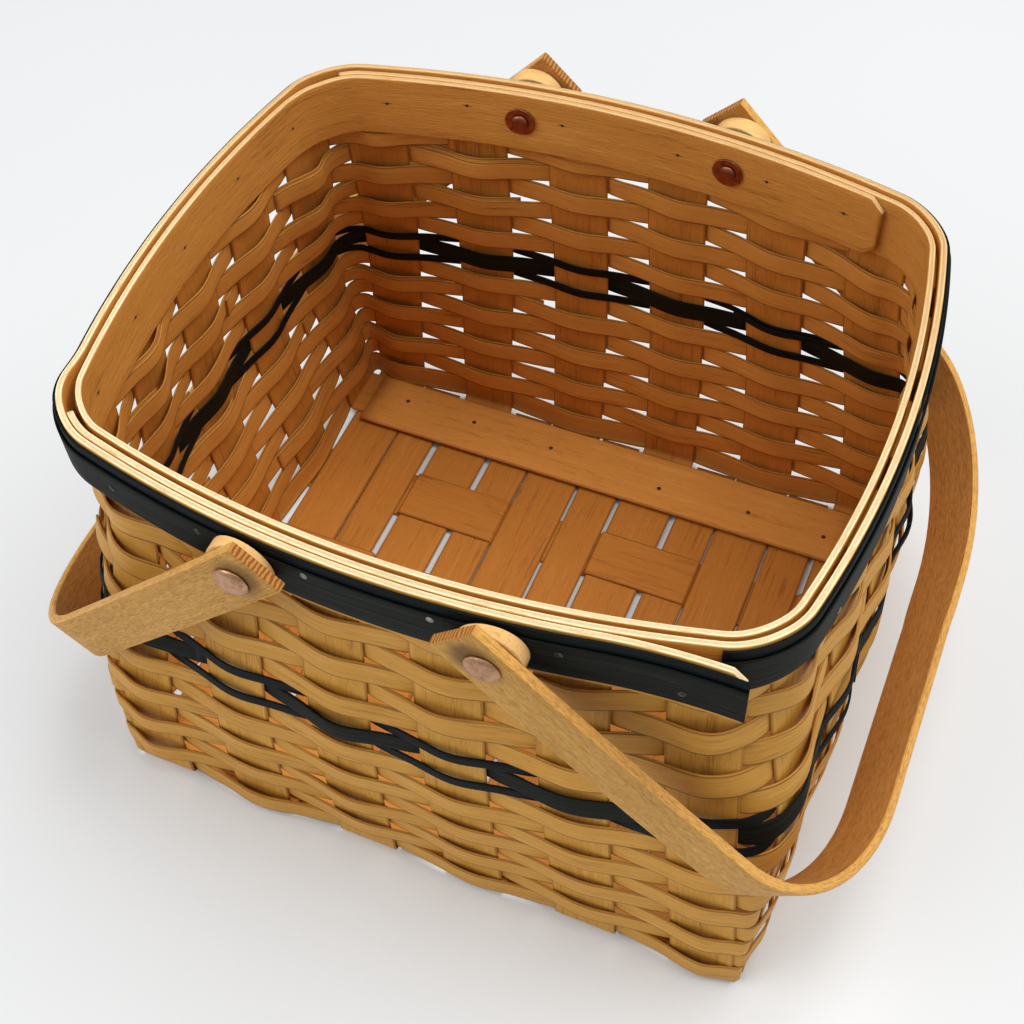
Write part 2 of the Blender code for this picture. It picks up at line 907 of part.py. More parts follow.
def build():
    clear_scene()
    build_long_uprights()
    build_cross_uprights()
    build_fillers()
    build_boards()
    build_weavers()
    bands = [build_inner_band(), build_outer_band()] + build_trims()
    cutters = {}
    fold = rest_angle()
    for side, sign in (("left", -1), ("right", 1)):
        cutters[side] = build_cutter("cutter_" + side, sign * pivot_offset)
        handle = build_handle("handle_" + side, sign, fold)
        drill(handle, [cutters[side]])
        for face, out in (("front", -1), ("back", 1)):
            tail = side + "_" + face
            build_spacer("spacer_" + tail, sign * pivot_offset, out)
            build_washer("washer_" + tail, sign * pivot_offset, out)
            build_rivet("rivet_" + tail, sign * pivot_offset, out)
    for band in bands:
        drill(band, list(cutters.values()))


build()
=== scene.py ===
"""Looks of the rectangular splint basket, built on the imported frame.

Frame: +X along the long walls, +Y from the front wall to the back wall, +Z up, metres.
The wall functions and the sizes repeat those of the part's source.
"""

import math

import bpy
import numpy as np
from mathutils import Matrix, Vector


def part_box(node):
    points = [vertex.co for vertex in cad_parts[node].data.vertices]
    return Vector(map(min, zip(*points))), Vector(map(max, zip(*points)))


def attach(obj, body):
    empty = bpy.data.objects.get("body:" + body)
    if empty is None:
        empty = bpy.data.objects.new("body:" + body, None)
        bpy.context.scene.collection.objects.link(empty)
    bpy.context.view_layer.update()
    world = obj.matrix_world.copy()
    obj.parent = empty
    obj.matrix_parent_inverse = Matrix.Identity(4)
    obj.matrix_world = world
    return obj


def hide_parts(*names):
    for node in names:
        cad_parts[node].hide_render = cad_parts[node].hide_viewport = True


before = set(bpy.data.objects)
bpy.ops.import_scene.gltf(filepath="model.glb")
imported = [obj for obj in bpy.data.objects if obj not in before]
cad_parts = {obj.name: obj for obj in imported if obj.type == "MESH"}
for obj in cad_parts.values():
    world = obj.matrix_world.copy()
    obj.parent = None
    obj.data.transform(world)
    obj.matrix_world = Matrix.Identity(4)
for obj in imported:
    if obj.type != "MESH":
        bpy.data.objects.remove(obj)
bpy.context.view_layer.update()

# ---------------------------------------------------------------- sizes of the part
clearance = 0.0003
upright_width = 0.0290
slit_width = 0.0019
upright_thickness = 0.0012
filler_end_inset = 0.0020
rim_half_length = 0.1414
rim_half_depth = 0.1091
wall_half_length = rim_half_length * 1.098
wall_half_depth = rim_half_depth * 1.2438
base_corner_radius = 0.0025
rim_corner_radius = 0.0180
rim_bow_long_share = 0.097
rim_bow_deep_share = 0.193
belly_long = 0.0035
belly_short = 0.0070
bend_radius_long = 0.0036
bend_radius_cross = 0.0021
weaver_thickness = 0.0010
row_gap = 0.0003
row_start_height = 0.0058
navy_pitch = 0.0057
green_pitch = 0.0120
top_row_share = 0.75
rim_height = 0.2415
band_width = 0.0310
inner_band_drop = 0.0005
inner_band_thickness = 0.0025
outer_band_thickness = 0.0027
navy_trim_width = 0.0275
green_trim_width = 0.0178
trim_thickness = 0.0010
trim_drop = 0.0012
upright_top = rim_height - 0.0065
inner_end_clip = 0.0060
lap_tail_length = 0.0540
lap_tail_splay = 0.0052
lap_tail_chamfer = 0.0050
trim_overhang = 0.0010
board_width = 0.0340
board_thickness = 0.0025
board_half_length = wall_half_length - 0.0123
board_shift = -0.0030
board_outer_edge = wall_half_depth - 0.0064
pivot_height = rim_height - 0.0145
spacer_thickness = 0.0048
spacer_radius = 0.0135
handle_width = 0.0246
handle_thickness = 0.0044
handle_reach = 0.2015
handle_end = 0.0160
handle_bends = {"front": (0.0670, 0.0710), "back": (0.0600, 0.0940)}
arm_draw_in = 0.0022
handle_fold = math.radians(46.40625)
shank_radius = 0.0025
head_radius = 0.0072
head_height = 0.0028
tail_radius = 0.0038
tail_height = 0.0014
washer_radius = 0.0070
washer_thickness = 0.0010
inner_marks = (0.04, 9.86)
inner_turn = (7.74, 7.97)
outer_marks = (5.98, -3.57)
outer_turn = (-1.72, -1.95)
trim_start = 4.12

COUNTS = (6, 5, 6, 5)
UPRIGHTS = sum(COUNTS)
SIDE_OF = np.repeat(np.arange(4), COUNTS)
INDEX_OF = np.concatenate([np.arange(count) for count in COUNTS])
strip_pitch = (wall_half_length - 0.0035 - upright_width / 2) / 2.5
cross_pitch = (wall_half_depth - 0.0050 - upright_width / 2) / 2.0
long_pitch_rim = rim_half_length * 0.3451
short_pitch_rim = rim_half_depth * 0.4125
pivot_offset = long_pitch_rim
filler_width = strip_pitch - upright_width - 2 * slit_width
half_splint = upright_thickness / 2
level_under = half_splint
level_strip = level_under + upright_thickness + clearance
level_over = level_strip + upright_thickness + clearance
board_bottom = level_over + half_splint + clearance
inner_band_top = rim_height - inner_band_drop
inner_band_bottom = inner_band_top - band_width
weave_top = inner_band_bottom - clearance
rows_height = weave_top - row_start_height - 2 * navy_pitch - green_pitch
natural_pitch = rows_height / (8 + 5 + top_row_share)
ply_gap = half_splint + clearance
pass_offset = half_splint + clearance + weaver_thickness / 2
arm_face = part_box("handle_right")[1][1]

# ---------------------------------------------------------------- sizes of the looks only
weave_roundness = 0.15      # how much rounder than a cosine a weaver passes an upright
weave_slack = 0.00005       # air between a weaver and an upright's edge
stations_per_upright = 16
navy_trim_raise = 0.0014    # how much the navy strip's lower edge is cut back
foot_reach = 0.0029         # how much lower the bottom row reaches on its way round
filler_shifts = (-0.0014, 0.0013, -0.0003, 0.0012, -0.0010)
ply_shift = 0.0016          # how far the overlapped ends of a weaver lie apart in height
edge_angles = (90.0, 58.0, 28.0, 0.0)
lathe_steps = 56

rng = np.random.default_rng(20)


# ---------------------------------------------------------------- wall surface

def smooth_step(t):
    t = np.clip(t, 0.0, 1.0)
    return t * t * (3 - 2 * t)


def blend(start, end, share):
    return start + (end - start) * share


def quarter_curve(z, flat_steps=44, corner_steps=24):
    """Points, distances and normals from the middle of a long side to that of a short one."""
    share = float(smooth_step(z / weave_top))
    swell = math.sin(math.pi * min(max(z / weave_top, 0.0), 1.0)) ** 2
    half_x = blend(wall_half_length, rim_half_length, share) + belly_short * swell
    half_y = blend(wall_half_depth, rim_half_depth, share) + belly_long * swell
    radius = blend(base_corner_radius, rim_corner_radius, share)
    along = np.linspace(0.0, half_x - radius, flat_steps, endpoint=False)
    turn = np.linspace(0.0, math.pi / 2, corner_steps + 1)
    down = np.linspace(half_y - radius, 0.0, flat_steps + 1)[1:]
    x = np.concatenate([along, half_x - radius + radius * np.sin(turn),
                        np.full(flat_steps, half_x)])
    y = np.concatenate([np.full(flat_steps, half_y),
                        half_y - radius + radius * np.cos(turn), down])
    px = x * (1 + rim_bow_long_share * share * (1 - (y / half_y) ** 2))
    py = y * (1 + rim_bow_deep_share * share * (1 - (x / half_x) ** 2))
    points = np.column_stack([px, py])
    steps = np.linalg.norm(np.diff(points, axis=0), axis=1)
    distances = np.concatenate([[0.0], np.cumsum(steps)])
    tangent = np.empty_like(points)
    tangent[1:-1] = points[2:] - points[:-2]
    tangent[0] = (1.0, 0.0)
    tangent[-1] = (0.0, -1.0)
    tangent /= np.linalg.norm(tangent, axis=1)[:, None]
    normals = np.column_stack([-tangent[:, 1], tangent[:, 0]])
    return points, distances, normals, distances[flat_steps + corner_steps // 2]


LEVELS = np.linspace(0.0, rim_height + 0.001, 122)
SHARES = np.linspace(0.0, 1.0, 260)


def wall_tables():
    """Tables [level][share] of x, y and normal for a long and a short half side."""
    tables = (np.zeros((len(LEVELS), len(SHARES), 4)), np.zeros((len(LEVELS), len(SHARES), 4)))
    halves = np.zeros((2, len(LEVELS)))
    for level, z in enumerate(LEVELS):
        points, distances, normals, corner = quarter_curve(z)
        total = distances[-1]
        halves[:, level] = corner, total - corner
        for kind, way in ((0, SHARES * corner), (1, total - SHARES * (total - corner))):
            for column in range(2):
                tables[kind][level, :, column] = np.interp(way, distances, points[:, column])
                tables[kind][level, :, column + 2] = np.interp(way, distances,
                                                               normals[:, column])
    return np.stack(tables), halves


WALL, HALVES = wall_tables()


def half_side(kind, z):
    """Half the length of a long (0) or short (1) side at height z."""
    low = np.interp(z, LEVELS, HALVES[0])
    return np.where(np.asarray(kind) == 0, low, np.interp(z, LEVELS, HALVES[1]))


def surface(side, share, z):
    """Points on the middle of the wall and outward normals; share runs -1..1 along a side."""
    side, share, z = np.broadcast_arrays(side, share, z)
    kind = side % 2
    level = np.clip(z / LEVELS[-1], 0.0, 1.0) * (len(LEVELS) - 1)
    place = np.clip(np.abs(share), 0.0, 1.0) * (len(SHARES) - 1)
    i = np.minimum(level.astype(int), len(LEVELS) - 2)
    j = np.minimum(place.astype(int), len(SHARES) - 2)
    u = (level - i)[..., None]
    v = (place - j)[..., None]
    found = ((WALL[kind, i, j] * (1 - v) + WALL[kind, i, j + 1] * v) * (1 - u)
             + (WALL[kind, i + 1, j] * (1 - v) + WALL[kind, i + 1, j + 1] * v) * u)
    forward = np.where(share >= 0, 1.0, -1.0)
    turn_x = np.choose(side, [forward, np.ones_like(forward), -forward, -np.ones_like(forward)])
    turn_y = np.choose(side, [np.ones_like(forward), -forward, -np.ones_like(forward), forward])
    normal = np.stack([found[..., 2] * turn_x, found[..., 3] * turn_y,
                       np.zeros_like(turn_x)], axis=-1)
    normal /= np.linalg.norm(normal, axis=-1)[..., None]
    point = np.stack([found[..., 0] * turn_x, found[..., 1] * turn_y, z + 0.0], axis=-1)
    return point, normal


def upright_pitch(kind, z):
    share = smooth_step(z / weave_top)
    return np.where(np.asarray(kind) == 0, blend(strip_pitch, long_pitch_rim, share),
                    blend(cross_pitch, short_pitch_rim, share))


def side_starts(z):
    """Length round the wall at which each side starts, and the whole length last."""
    long_side = 2 * half_side(0, z)
    short_side = 2 * half_side(1, z)
    zero = np.zeros_like(long_side)
    return np.stack([zero, long_side, long_side + short_side, 2 * long_side + short_side,
                     2 * (long_side + short_side)])


def upright_way(order, z):
    """Length round the wall of the middle of an upright, counted on past one lap."""
    lap = order // UPRIGHTS
    j = order % UPRIGHTS
    side = SIDE_OF[j]
    starts = side_starts(z)
    start = np.take_along_axis(starts, side[None], axis=0)[0]
    middle = (np.asarray(COUNTS)[side] - 1) / 2
    way = start + half_side(side % 2, z) + (INDEX_OF[j] - middle) * upright_pitch(side % 2, z)
    return way + lap * starts[4]


def ring_place(q, z):
    """Side, share along it and whole way round, for a place counted in uprights."""
    q, z = np.broadcast_arrays(q, z)
    order = np.floor(q).astype(int)
    way = blend(upright_way(order, z), upright_way(order + 1, z), q - order)
    starts = side_starts(z)
    lap = np.floor(way / starts[4])
    local = way - lap * starts[4]
    side = ((local >= starts[1]).astype(int) + (local >= starts[2]) + (local >= starts[3]))
    start = np.take_along_axis(starts, side[None], axis=0)[0]
    share = (local - start) / half_side(side % 2, z) - 1
    return side, share, way


# ---------------------------------------------------------------- mesh helpers

def columns_of(width, thickness, inner_columns=3, ease=0.8):
    """Places across a strip (-0.5..0.5) with rounded edges, and half thickness at each."""
    radius = thickness / 2 * ease
    angles = np.radians(edge_angles)
    away = radius * (1 - np.sin(angles)) / width
    half = thickness / 2 - radius + radius * np.cos(angles)
    middle = np.linspace(-0.5 + radius / width, 0.5 - radius / width, inner_columns + 2)[1:-1]
    places = np.concatenate([-0.5 + away, middle, (0.5 - away)[::-1]])
    halves = np.concatenate([half, np.full(inner_columns, thickness / 2), half[::-1]])
    return places, halves


def finish_piece(name, verts, faces, material, grain=None, shade=None, flat=()):
    """One object from vertices and faces, with its grain and shade attributes."""
    mesh = bpy.data.meshes.new(name)
    mesh.from_pydata(np.asarray(verts, dtype=float).tolist(), [], faces)
    mesh.polygons.foreach_set("use_smooth", [True] * len(mesh.polygons))
    for index in flat:
        mesh.polygons[index].use_smooth = False
    if grain is not None:
        layer = mesh.attributes.new("grain", "FLOAT_VECTOR", "POINT")
        layer.data.foreach_set("vector", np.asarray(grain, dtype=np.float32).ravel())
    if shade is not None:
        layer = mesh.attributes.new("shade", "FLOAT_VECTOR", "POINT")
        layer.data.foreach_set("vector", np.asarray(shade, dtype=np.float32).ravel())
    mesh.materials.append(material)
    mesh.validate()
    piece = bpy.data.objects.new(name, mesh)
    bpy.context.scene.collection.objects.link(piece)
    return piece


def settle(piece, body, slot, *nodes):
    """Says what the piece rides on and which nodes it stands for; the slot is not used."""
    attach(piece, body)
    if nodes:
        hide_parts(*nodes)
    return piece


def ribbon_faces(stations, columns):
    """Faces of an open strip: inner grid, then outer grid of the same size."""
    def at(s, c, layer):
        return layer * stations * columns + s * columns + c

    faces = []
    last = columns - 1
    for s in range(stations - 1):
        for c in range(last):
            faces.append((at(s, c, 0), at(s, c + 1, 0), at(s + 1, c + 1, 0), at(s + 1, c, 0)))
            faces.append((at(s, c, 1), at(s + 1, c, 1), at(s + 1, c + 1, 1), at(s, c + 1, 1)))
        faces.append((at(s, 0, 0), at(s + 1, 0, 0), at(s + 1, 0, 1), at(s, 0, 1)))
        faces.append((at(s, last, 0), at(s, last, 1), at(s + 1, last, 1), at(s + 1, last, 0)))
    caps = []
    end = stations - 1
    for c in range(last):
        caps.append((at(0, c, 0), at(0, c, 1), at(0, c + 1, 1), at(0, c + 1, 0)))
        caps.append((at(end, c, 0), at(end, c + 1, 0), at(end, c + 1, 1), at(end, c, 1)))
    return faces, caps


def ribbon(name, points, normals, halves, along, across, material, seed, inner_side=True,
           top_edge=False, reach=0.004):
    """A strip from its middle surface [station][column], with rounded edges.

    Shade holds: x 1 on the inner face, y 1 near the cut ends, and in z either up to 1 on the
    upper edge, paler towards the front as painted light, or, without top_edge, the distance
    from the nearer long edge in millimetres, which places the painted edge shade.
    """
    stations, columns = points.shape[:2]
    halves = np.broadcast_to(halves, (stations, columns))[..., None]
    inner = points - normals * halves
    outer = points + normals * halves
    faces, caps = ribbon_faces(stations, columns)
    along = np.broadcast_to(np.asarray(along)[:, None], (stations, columns))
    across = np.broadcast_to(across, (stations, columns))
    start, end = along.min(), along.max()
    near_end = np.clip(1 - np.minimum(along - start, end - along) / reach, 0, 1)
    upper = (across.max() - np.abs(across)) * 1000.0
    if top_edge:
        upper = np.zeros((stations, columns))
        # painted light: the pale upper edge is scaled from 0.42 at the back up to 1 at the front
        front = np.clip(0.5 - points[:, :1, 1] / 0.16, 0.0, 1.0)
        upper[:, -3:] = np.array([(0.30, 1.0, 1.0)]) * (0.42 + 0.58 * front)
    grain = []
    shade = []
    for layer, depth in ((0, -1.0), (1, 1.0)):
        shift = seed * 3.7 + layer * 0.61
        grain.append(np.stack([along + shift, across + seed * 0.13, depth * halves[..., 0]],
                              axis=-1))
        inside = np.full((stations, columns), 1.0 if (layer == 0) == inner_side else 0.0)
        shade.append(np.stack([inside, near_end, upper], axis=-1))
    verts = np.concatenate([inner.reshape(-1, 3), outer.reshape(-1, 3)])
    flat = range(len(faces), len(faces) + len(caps))
    return finish_piece(name, verts, faces + caps, material,
                        np.concatenate([g.reshape(-1, 3) for g in grain]),
                        np.concatenate([s.reshape(-1, 3) for s in shade]), flat)


def wander(count, reach, waves=(1, 2, 3, 5, 8)):
    """A smooth seeded function of the place round the ring, about +-reach."""
    phases = rng.uniform(0, 2 * math.pi, (count, len(waves)))
    sizes = rng.uniform(0.4, 1.0, (count, len(waves)))
    sizes *= reach / sizes.sum(axis=1)[:, None]

    def value(row, q):
        total = np.zeros_like(q)
        for k, wave in enumerate(waves):
            total += sizes[row, k] * np.sin(2 * math.pi * wave * q / UPRIGHTS + phases[row, k])
        return total
    return value


# ---------------------------------------------------------------- materials

class Nodes:
    """Short calls for building one material's nodes."""

    def __init__(self, name):
        self.material = bpy.data.materials.new(name)
        self.material.use_nodes = True
        self.tree = self.material.node_tree
        self.shader = self.tree.nodes["Principled BSDF"]

    def put(self, kind, inputs=(), **settings):
        node = self.tree.nodes.new(kind)
        for key, value in settings.items():
            setattr(node, key, value)
        for key, value in dict(inputs).items():
            self.feed(node.inputs[key], value)
        return node

    def feed(self, socket, value):
        if isinstance(value, bpy.types.NodeSocket):
            self.tree.links.new(value, socket)
        elif isinstance(value, tuple) and len(value) == 3 and socket.type == "RGBA":
            socket.default_value = (*value, 1.0)
        else:
            socket.default_value = value

    def attribute(self, name):
        return self.put("ShaderNodeAttribute", attribute_name=name).outputs["Vector"]

    def parts(self, vector):
        return self.put("ShaderNodeSeparateXYZ", {0: vector}).outputs

    def math(self, operation, a, b=0.5, clamp=False):
        return self.put("ShaderNodeMath", {0: a, 1: b}, operation=operation,
                        use_clamp=clamp).outputs[0]

    def stretch(self, vector, scale):
        return self.put("ShaderNodeVectorMath", {0: vector, 1: scale},
                        operation="MULTIPLY").outputs[0]

    def noise(self, vector, scale, detail=4.0, rough=0.55, twist=0.0):
        return self.put("ShaderNodeTexNoise",
                        {"Vector": self.stretch(vector, scale), "Scale": 1.0,
                         "Detail": detail, "Roughness": rough,
                         "Distortion": twist}).outputs["Fac"]

    def ramp(self, value, low, high, start=0.0, end=1.0):
        node = self.put("ShaderNodeMapRange", {0: value, 1: low, 2: high, 3: start, 4: end},
                        interpolation_type="SMOOTHSTEP")
        return node.outputs[0]

    def colours(self, value, stops):
        node = self.put("ShaderNodeValToRGB", {0: value})
        band = node.color_ramp
        band.elements[0].position, band.elements[0].color = stops[0][0], (*stops[0][1], 1.0)
        band.elements[1].position, band.elements[1].color = stops[-1][0], (*stops[-1][1], 1.0)
        for place, colour in stops[1:-1]:
            band.elements.new(place).color = (*colour, 1.0)
        return node.outputs[0]

    def mix(self, share, a, b, mode="MIX"):
        node = self.put("ShaderNodeMix", data_type="RGBA", blend_type=mode)
        self.feed(node.inputs["Factor"], share)
        self.feed(node.inputs[6], a)
        self.feed(node.inputs[7], b)
        return node.outputs[2]

    def bump(self, height, strength, distance):
        return self.put("ShaderNodeBump", {"Height": height, "Strength": strength,
                                           "Distance": distance}).outputs[0]

    def done(self, colour, rough, normal, **constants):
        self.feed(self.shader.inputs["Base Color"], colour)
        self.feed(self.shader.inputs["Roughness"], rough)
        if normal is not None:
            self.feed(self.shader.inputs["Normal"], normal)
        for key, value in constants.items():
            self.shader.inputs[key.replace("_", " ")].default_value = value
        return self.material


WOOD = {"light": (0.740, 0.410, 0.092), "mid": (0.590, 0.290, 0.046),
        "dark": (0.270, 0.105, 0.017)}
WARM = {"light": (0.750, 0.370, 0.090), "mid": (0.620, 0.270, 0.052),
        "dark": (0.270, 0.092, 0.018)}
# painted shade: darker inner-face colours for the uprights and base, standing in for the shade
# inside the basket
SHADED_INSIDE = {"light": (0.670, 0.285, 0.056), "mid": (0.555, 0.212, 0.034),
        "dark": (0.250, 0.075, 0.013)}
PALE = {"light": (0.860, 0.420, 0.100), "mid": (0.740, 0.320, 0.064),
        "dark": (0.350, 0.120, 0.024)}
CREAM = (0.96, 0.79, 0.48)


def tone(n, fibre, colours):
    return n.colours(fibre, [(0.27, colours["dark"]), (0.45, colours["mid"]),
                             (0.55, colours["mid"]), (0.72, colours["light"])])


def wood_material(name, outside, inside, fine=1.0, top=None, gloss=0.46, relief=0.0003,
                  edge_gap_shade=0.0):
    """Stained splint: long streaks, fine fibres, pores, mottling, darker cut ends, painted edge
    shade.
    """
    n = Nodes(name)
    grain = n.attribute("grain")
    shade = n.parts(n.attribute("shade"))
    streaks = n.noise(grain, (14.0, 380.0 * fine, 300.0), 5.0, 0.60, 0.3)
    fibres = n.noise(grain, (95.0, 2200.0 * fine, 900.0), 4.0, 0.62)
    clouds = n.noise(grain, (16.0, 34.0, 20.0), 3.0, 0.5)
    fibre = n.math("ADD", n.math("MULTIPLY", streaks, 0.45), n.math("MULTIPLY", fibres, 0.55))
    fibre = n.math("ADD", fibre, n.math("MULTIPLY", n.math("SUBTRACT", clouds, 0.5), 0.40))
    colour = n.mix(shade[0], tone(n, fibre, outside), tone(n, fibre, inside))
    pores = n.ramp(n.noise(grain, (120.0, 3600.0 * fine, 700.0), 2.0, 0.5), 0.62, 0.74)
    colour = n.mix(n.math("MULTIPLY", pores, 0.55), colour, outside["dark"])
    # painted shade: thin dark lines on the faces just inside each long edge stand in for the
    # shadow in the gaps between rows
    if edge_gap_shade:
        line = n.math("MULTIPLY", n.ramp(shade[2], 0.05, 0.28, 0.4, 1.0),
                      n.ramp(shade[2], 1.25, 0.50))
        line = n.math("MULTIPLY", line, n.ramp(clouds, 0.35, 0.6, 0.6, 1.0))
        gap_shade_colour = tuple(channel * 0.55 for channel in outside["dark"])
        colour = n.mix(n.math("MULTIPLY", line, edge_gap_shade), colour, gap_shade_colour)
    ends = n.ramp(n.math("ADD", shade[1], n.math("MULTIPLY", fibres, 0.5)), 0.7, 1.4)
    colour = n.mix(n.math("MULTIPLY", ends, 0.5), colour, inside["dark"])
    # shade z brings the pale upper edge, already scaled towards the front as painted light
    if top is not None:
        specks = n.ramp(n.noise(grain, (90.0, 700.0, 2600.0), 4.0, 0.65), 0.50, 0.64)
        pale = n.mix(n.math("MULTIPLY", specks, 0.72), top, outside["mid"])
        colour = n.mix(shade[2], colour, pale)
    height = n.math("ADD", n.math("MULTIPLY", streaks, 0.5), n.math("MULTIPLY", fibres, 0.5))
    rough = n.ramp(fibre, 0.2, 0.8, gloss + 0.16, gloss)
    return n.done(colour, rough, n.bump(height, 0.8, relief), Specular_IOR_Level=0.18)


def dyed_material(name, base, worn):
    """Dyed strip: nearly black colour with lighter worn fibres."""
    n = Nodes(name)
    grain = n.attribute("grain")
    shade = n.parts(n.attribute("shade"))
    streaks = n.noise(grain, (11.0, 700.0, 300.0), 5.0, 0.62, 0.2)
    fibres = n.noise(grain, (60.0, 3000.0, 900.0), 3.0, 0.6)
    clouds = n.noise(grain, (30.0, 60.0, 20.0), 3.0, 0.5)
    fibre = n.math("ADD", n.math("MULTIPLY", streaks, 0.6), n.math("MULTIPLY", fibres, 0.4))
    dark = tuple(channel * 0.45 for channel in base)
    colour = n.colours(fibre, [(0.30, dark), (0.55, base), (0.82, worn)])
    rub = n.ramp(n.math("ADD", n.math("MULTIPLY", clouds, 0.6), n.math("MULTIPLY", fibres, 0.4)),
                 0.56, 0.72)
    colour = n.mix(n.math("MULTIPLY", rub, 0.35), colour, worn)
    colour = n.mix(n.math("MULTIPLY", shade[0], 0.6), colour, dark)
    height = n.math("ADD", n.math("MULTIPLY", streaks, 0.5), n.math("MULTIPLY", fibres, 0.5))
    return n.done(colour, n.ramp(fibre, 0.2, 0.8, 0.72, 0.54), n.bump(height, 0.8, 0.0003),
                  Specular_IOR_Level=0.11)


def handle_material():
    """Bent maple: greyed speckled faces, golden edges, ringed end grain, dark by the rivet."""
    n = Nodes("handle_maple")
    grain = n.attribute("grain")
    shade = n.parts(n.attribute("shade"))
    streaks = n.noise(grain, (22.0, 320.0, 320.0), 5.0, 0.6, 0.3)
    fibres = n.noise(grain, (230.0, 1700.0, 1700.0), 5.0, 0.66)
    clouds = n.noise(grain, (14.0, 40.0, 40.0), 3.0, 0.5)
    fibre = n.math("ADD", n.math("MULTIPLY", streaks, 0.25), n.math("MULTIPLY", fibres, 0.75))
    fibre = n.math("ADD", fibre, n.math("MULTIPLY", n.math("SUBTRACT", clouds, 0.5), 0.18))
    face = n.colours(fibre, [(0.30, (0.340, 0.155, 0.036)), (0.48, (0.540, 0.275, 0.060)),
                             (0.68, (0.690, 0.400, 0.100))])
    inner = n.colours(fibre, [(0.32, (0.250, 0.088, 0.020)), (0.47, (0.420, 0.175, 0.042)),
                              (0.68, (0.520, 0.240, 0.068))])
    edge = n.colours(fibre, [(0.32, (0.480, 0.220, 0.050)), (0.50, (0.680, 0.350, 0.085)),
                             (0.68, (0.800, 0.460, 0.130))])
    colour = n.mix(shade[0], edge, face)
    colour = n.mix(n.math("MULTIPLY", shade[1], -1.0, True), colour, inner)
    specks = n.ramp(n.noise(grain, (330.0, 1900.0, 1900.0), 3.0, 0.6), 0.54, 0.66)
    colour = n.mix(n.math("MULTIPLY", specks, 0.5), colour, (0.210, 0.100, 0.030))
    rings = n.put("ShaderNodeTexWave", {"Vector": n.stretch(grain, (300.0, 470.0, 420.0)),
                                        "Scale": 0.35, "Distortion": 5.0, "Detail": 3.0},
                  bands_direction="Y").outputs["Fac"]
    ends = n.colours(rings, [(0.15, (0.250, 0.085, 0.016)), (0.8, (0.520, 0.230, 0.054))])
    colour = n.mix(shade[2], colour, ends)
    # darkens a patch round each rivet on the outer face, centred 5 mm from the pivot towards the
    # arm's short end
    near = n.math("MAXIMUM", shade[1], 0.0)
    rivet_darkening = n.math("MULTIPLY", near, n.ramp(n.math("ADD", clouds, fibres), 0.7, 1.25, 0.55, 1.0))
    colour = n.mix(n.math("MULTIPLY", rivet_darkening, 0.85), colour, (0.080, 0.038, 0.016))
    height = n.math("ADD", n.math("MULTIPLY", streaks, 0.4), n.math("MULTIPLY", fibres, 0.6))
    return n.done(colour, n.ramp(fibre, 0.2, 0.8, 0.60, 0.46), n.bump(height, 0.6, 0.00025),
                  Specular_IOR_Level=0.13)


def metal_material(name, bright, dark, rough, metallic=1.0, scale=900.0, share=0.5,
                   tail=None):
    """Aged metal: tarnish in patches, fine scratches, uneven gloss."""
    n = Nodes(name)
    place = n.put("ShaderNodeTexCoord").outputs["Object"]
    patches = n.noise(place, (scale * 0.35,) * 3, 4.0, 0.6, 0.4)
    scratches = n.noise(place, (scale * 3.0, scale * 0.4, scale * 0.9), 3.0, 0.6)
    mixed = n.math("ADD", n.math("MULTIPLY", patches, 0.7), n.math("MULTIPLY", scratches, 0.3))
    colour = n.mix(n.ramp(mixed, share - 0.14, share + 0.14), dark, bright)
    if tail is not None:
        across = n.math("ABSOLUTE", n.parts(place)[1])
        colour = n.mix(n.ramp(across, 0.1300, 0.1400), tail, colour)
    height = n.math("ADD", n.math("MULTIPLY", patches, 0.7), n.math("MULTIPLY", scratches, 0.3))
    return n.done(colour, n.ramp(mixed, 0.3, 0.7, rough + 0.16, rough - 0.08),
                  n.bump(height, 0.35, 0.0002), Metallic=metallic)


def floor_material():
    """Pale floor with a faint unevenness."""
    n = Nodes("floor_paper")
    place = n.put("ShaderNodeTexCoord").outputs["Object"]
    clouds = n.noise(place, (1.3, 1.3, 1.3), 3.0, 0.5)
    fine = n.noise(place, (420.0, 420.0, 420.0), 2.0, 0.5)
    mixed = n.math("ADD", n.math("MULTIPLY", clouds, 0.85), n.math("MULTIPLY", fine, 0.15))
    colour = n.colours(mixed, [(0.3, (0.760, 0.775, 0.790)), (0.7, (0.795, 0.808, 0.820))])
    n.done(colour, 0.85, None)
    glow = n.put("ShaderNodeEmission", {"Color": colour, "Strength": 1.0})
    rays = n.put("ShaderNodeLightPath").outputs["Is Camera Ray"]
    x, y, _ = n.parts(place)
    clear_x = n.ramp(n.math("ABSOLUTE", x), 0.135, 0.26)
    clear_y = n.ramp(n.math("ABSOLUTE", y), 0.115, 0.24)
    open_floor = n.math("MAXIMUM", clear_x, clear_y)
    share = n.math("MULTIPLY", n.math("MULTIPLY", rays, open_floor), 0.44)
    both = n.put("ShaderNodeMixShader", {0: share})
    n.feed(both.inputs[1], n.shader.outputs[0])
    n.feed(both.inputs[2], glow.outputs[0])
    n.feed(n.tree.nodes["Material Output"].inputs["Surface"], both.outputs[0])
    return n.material


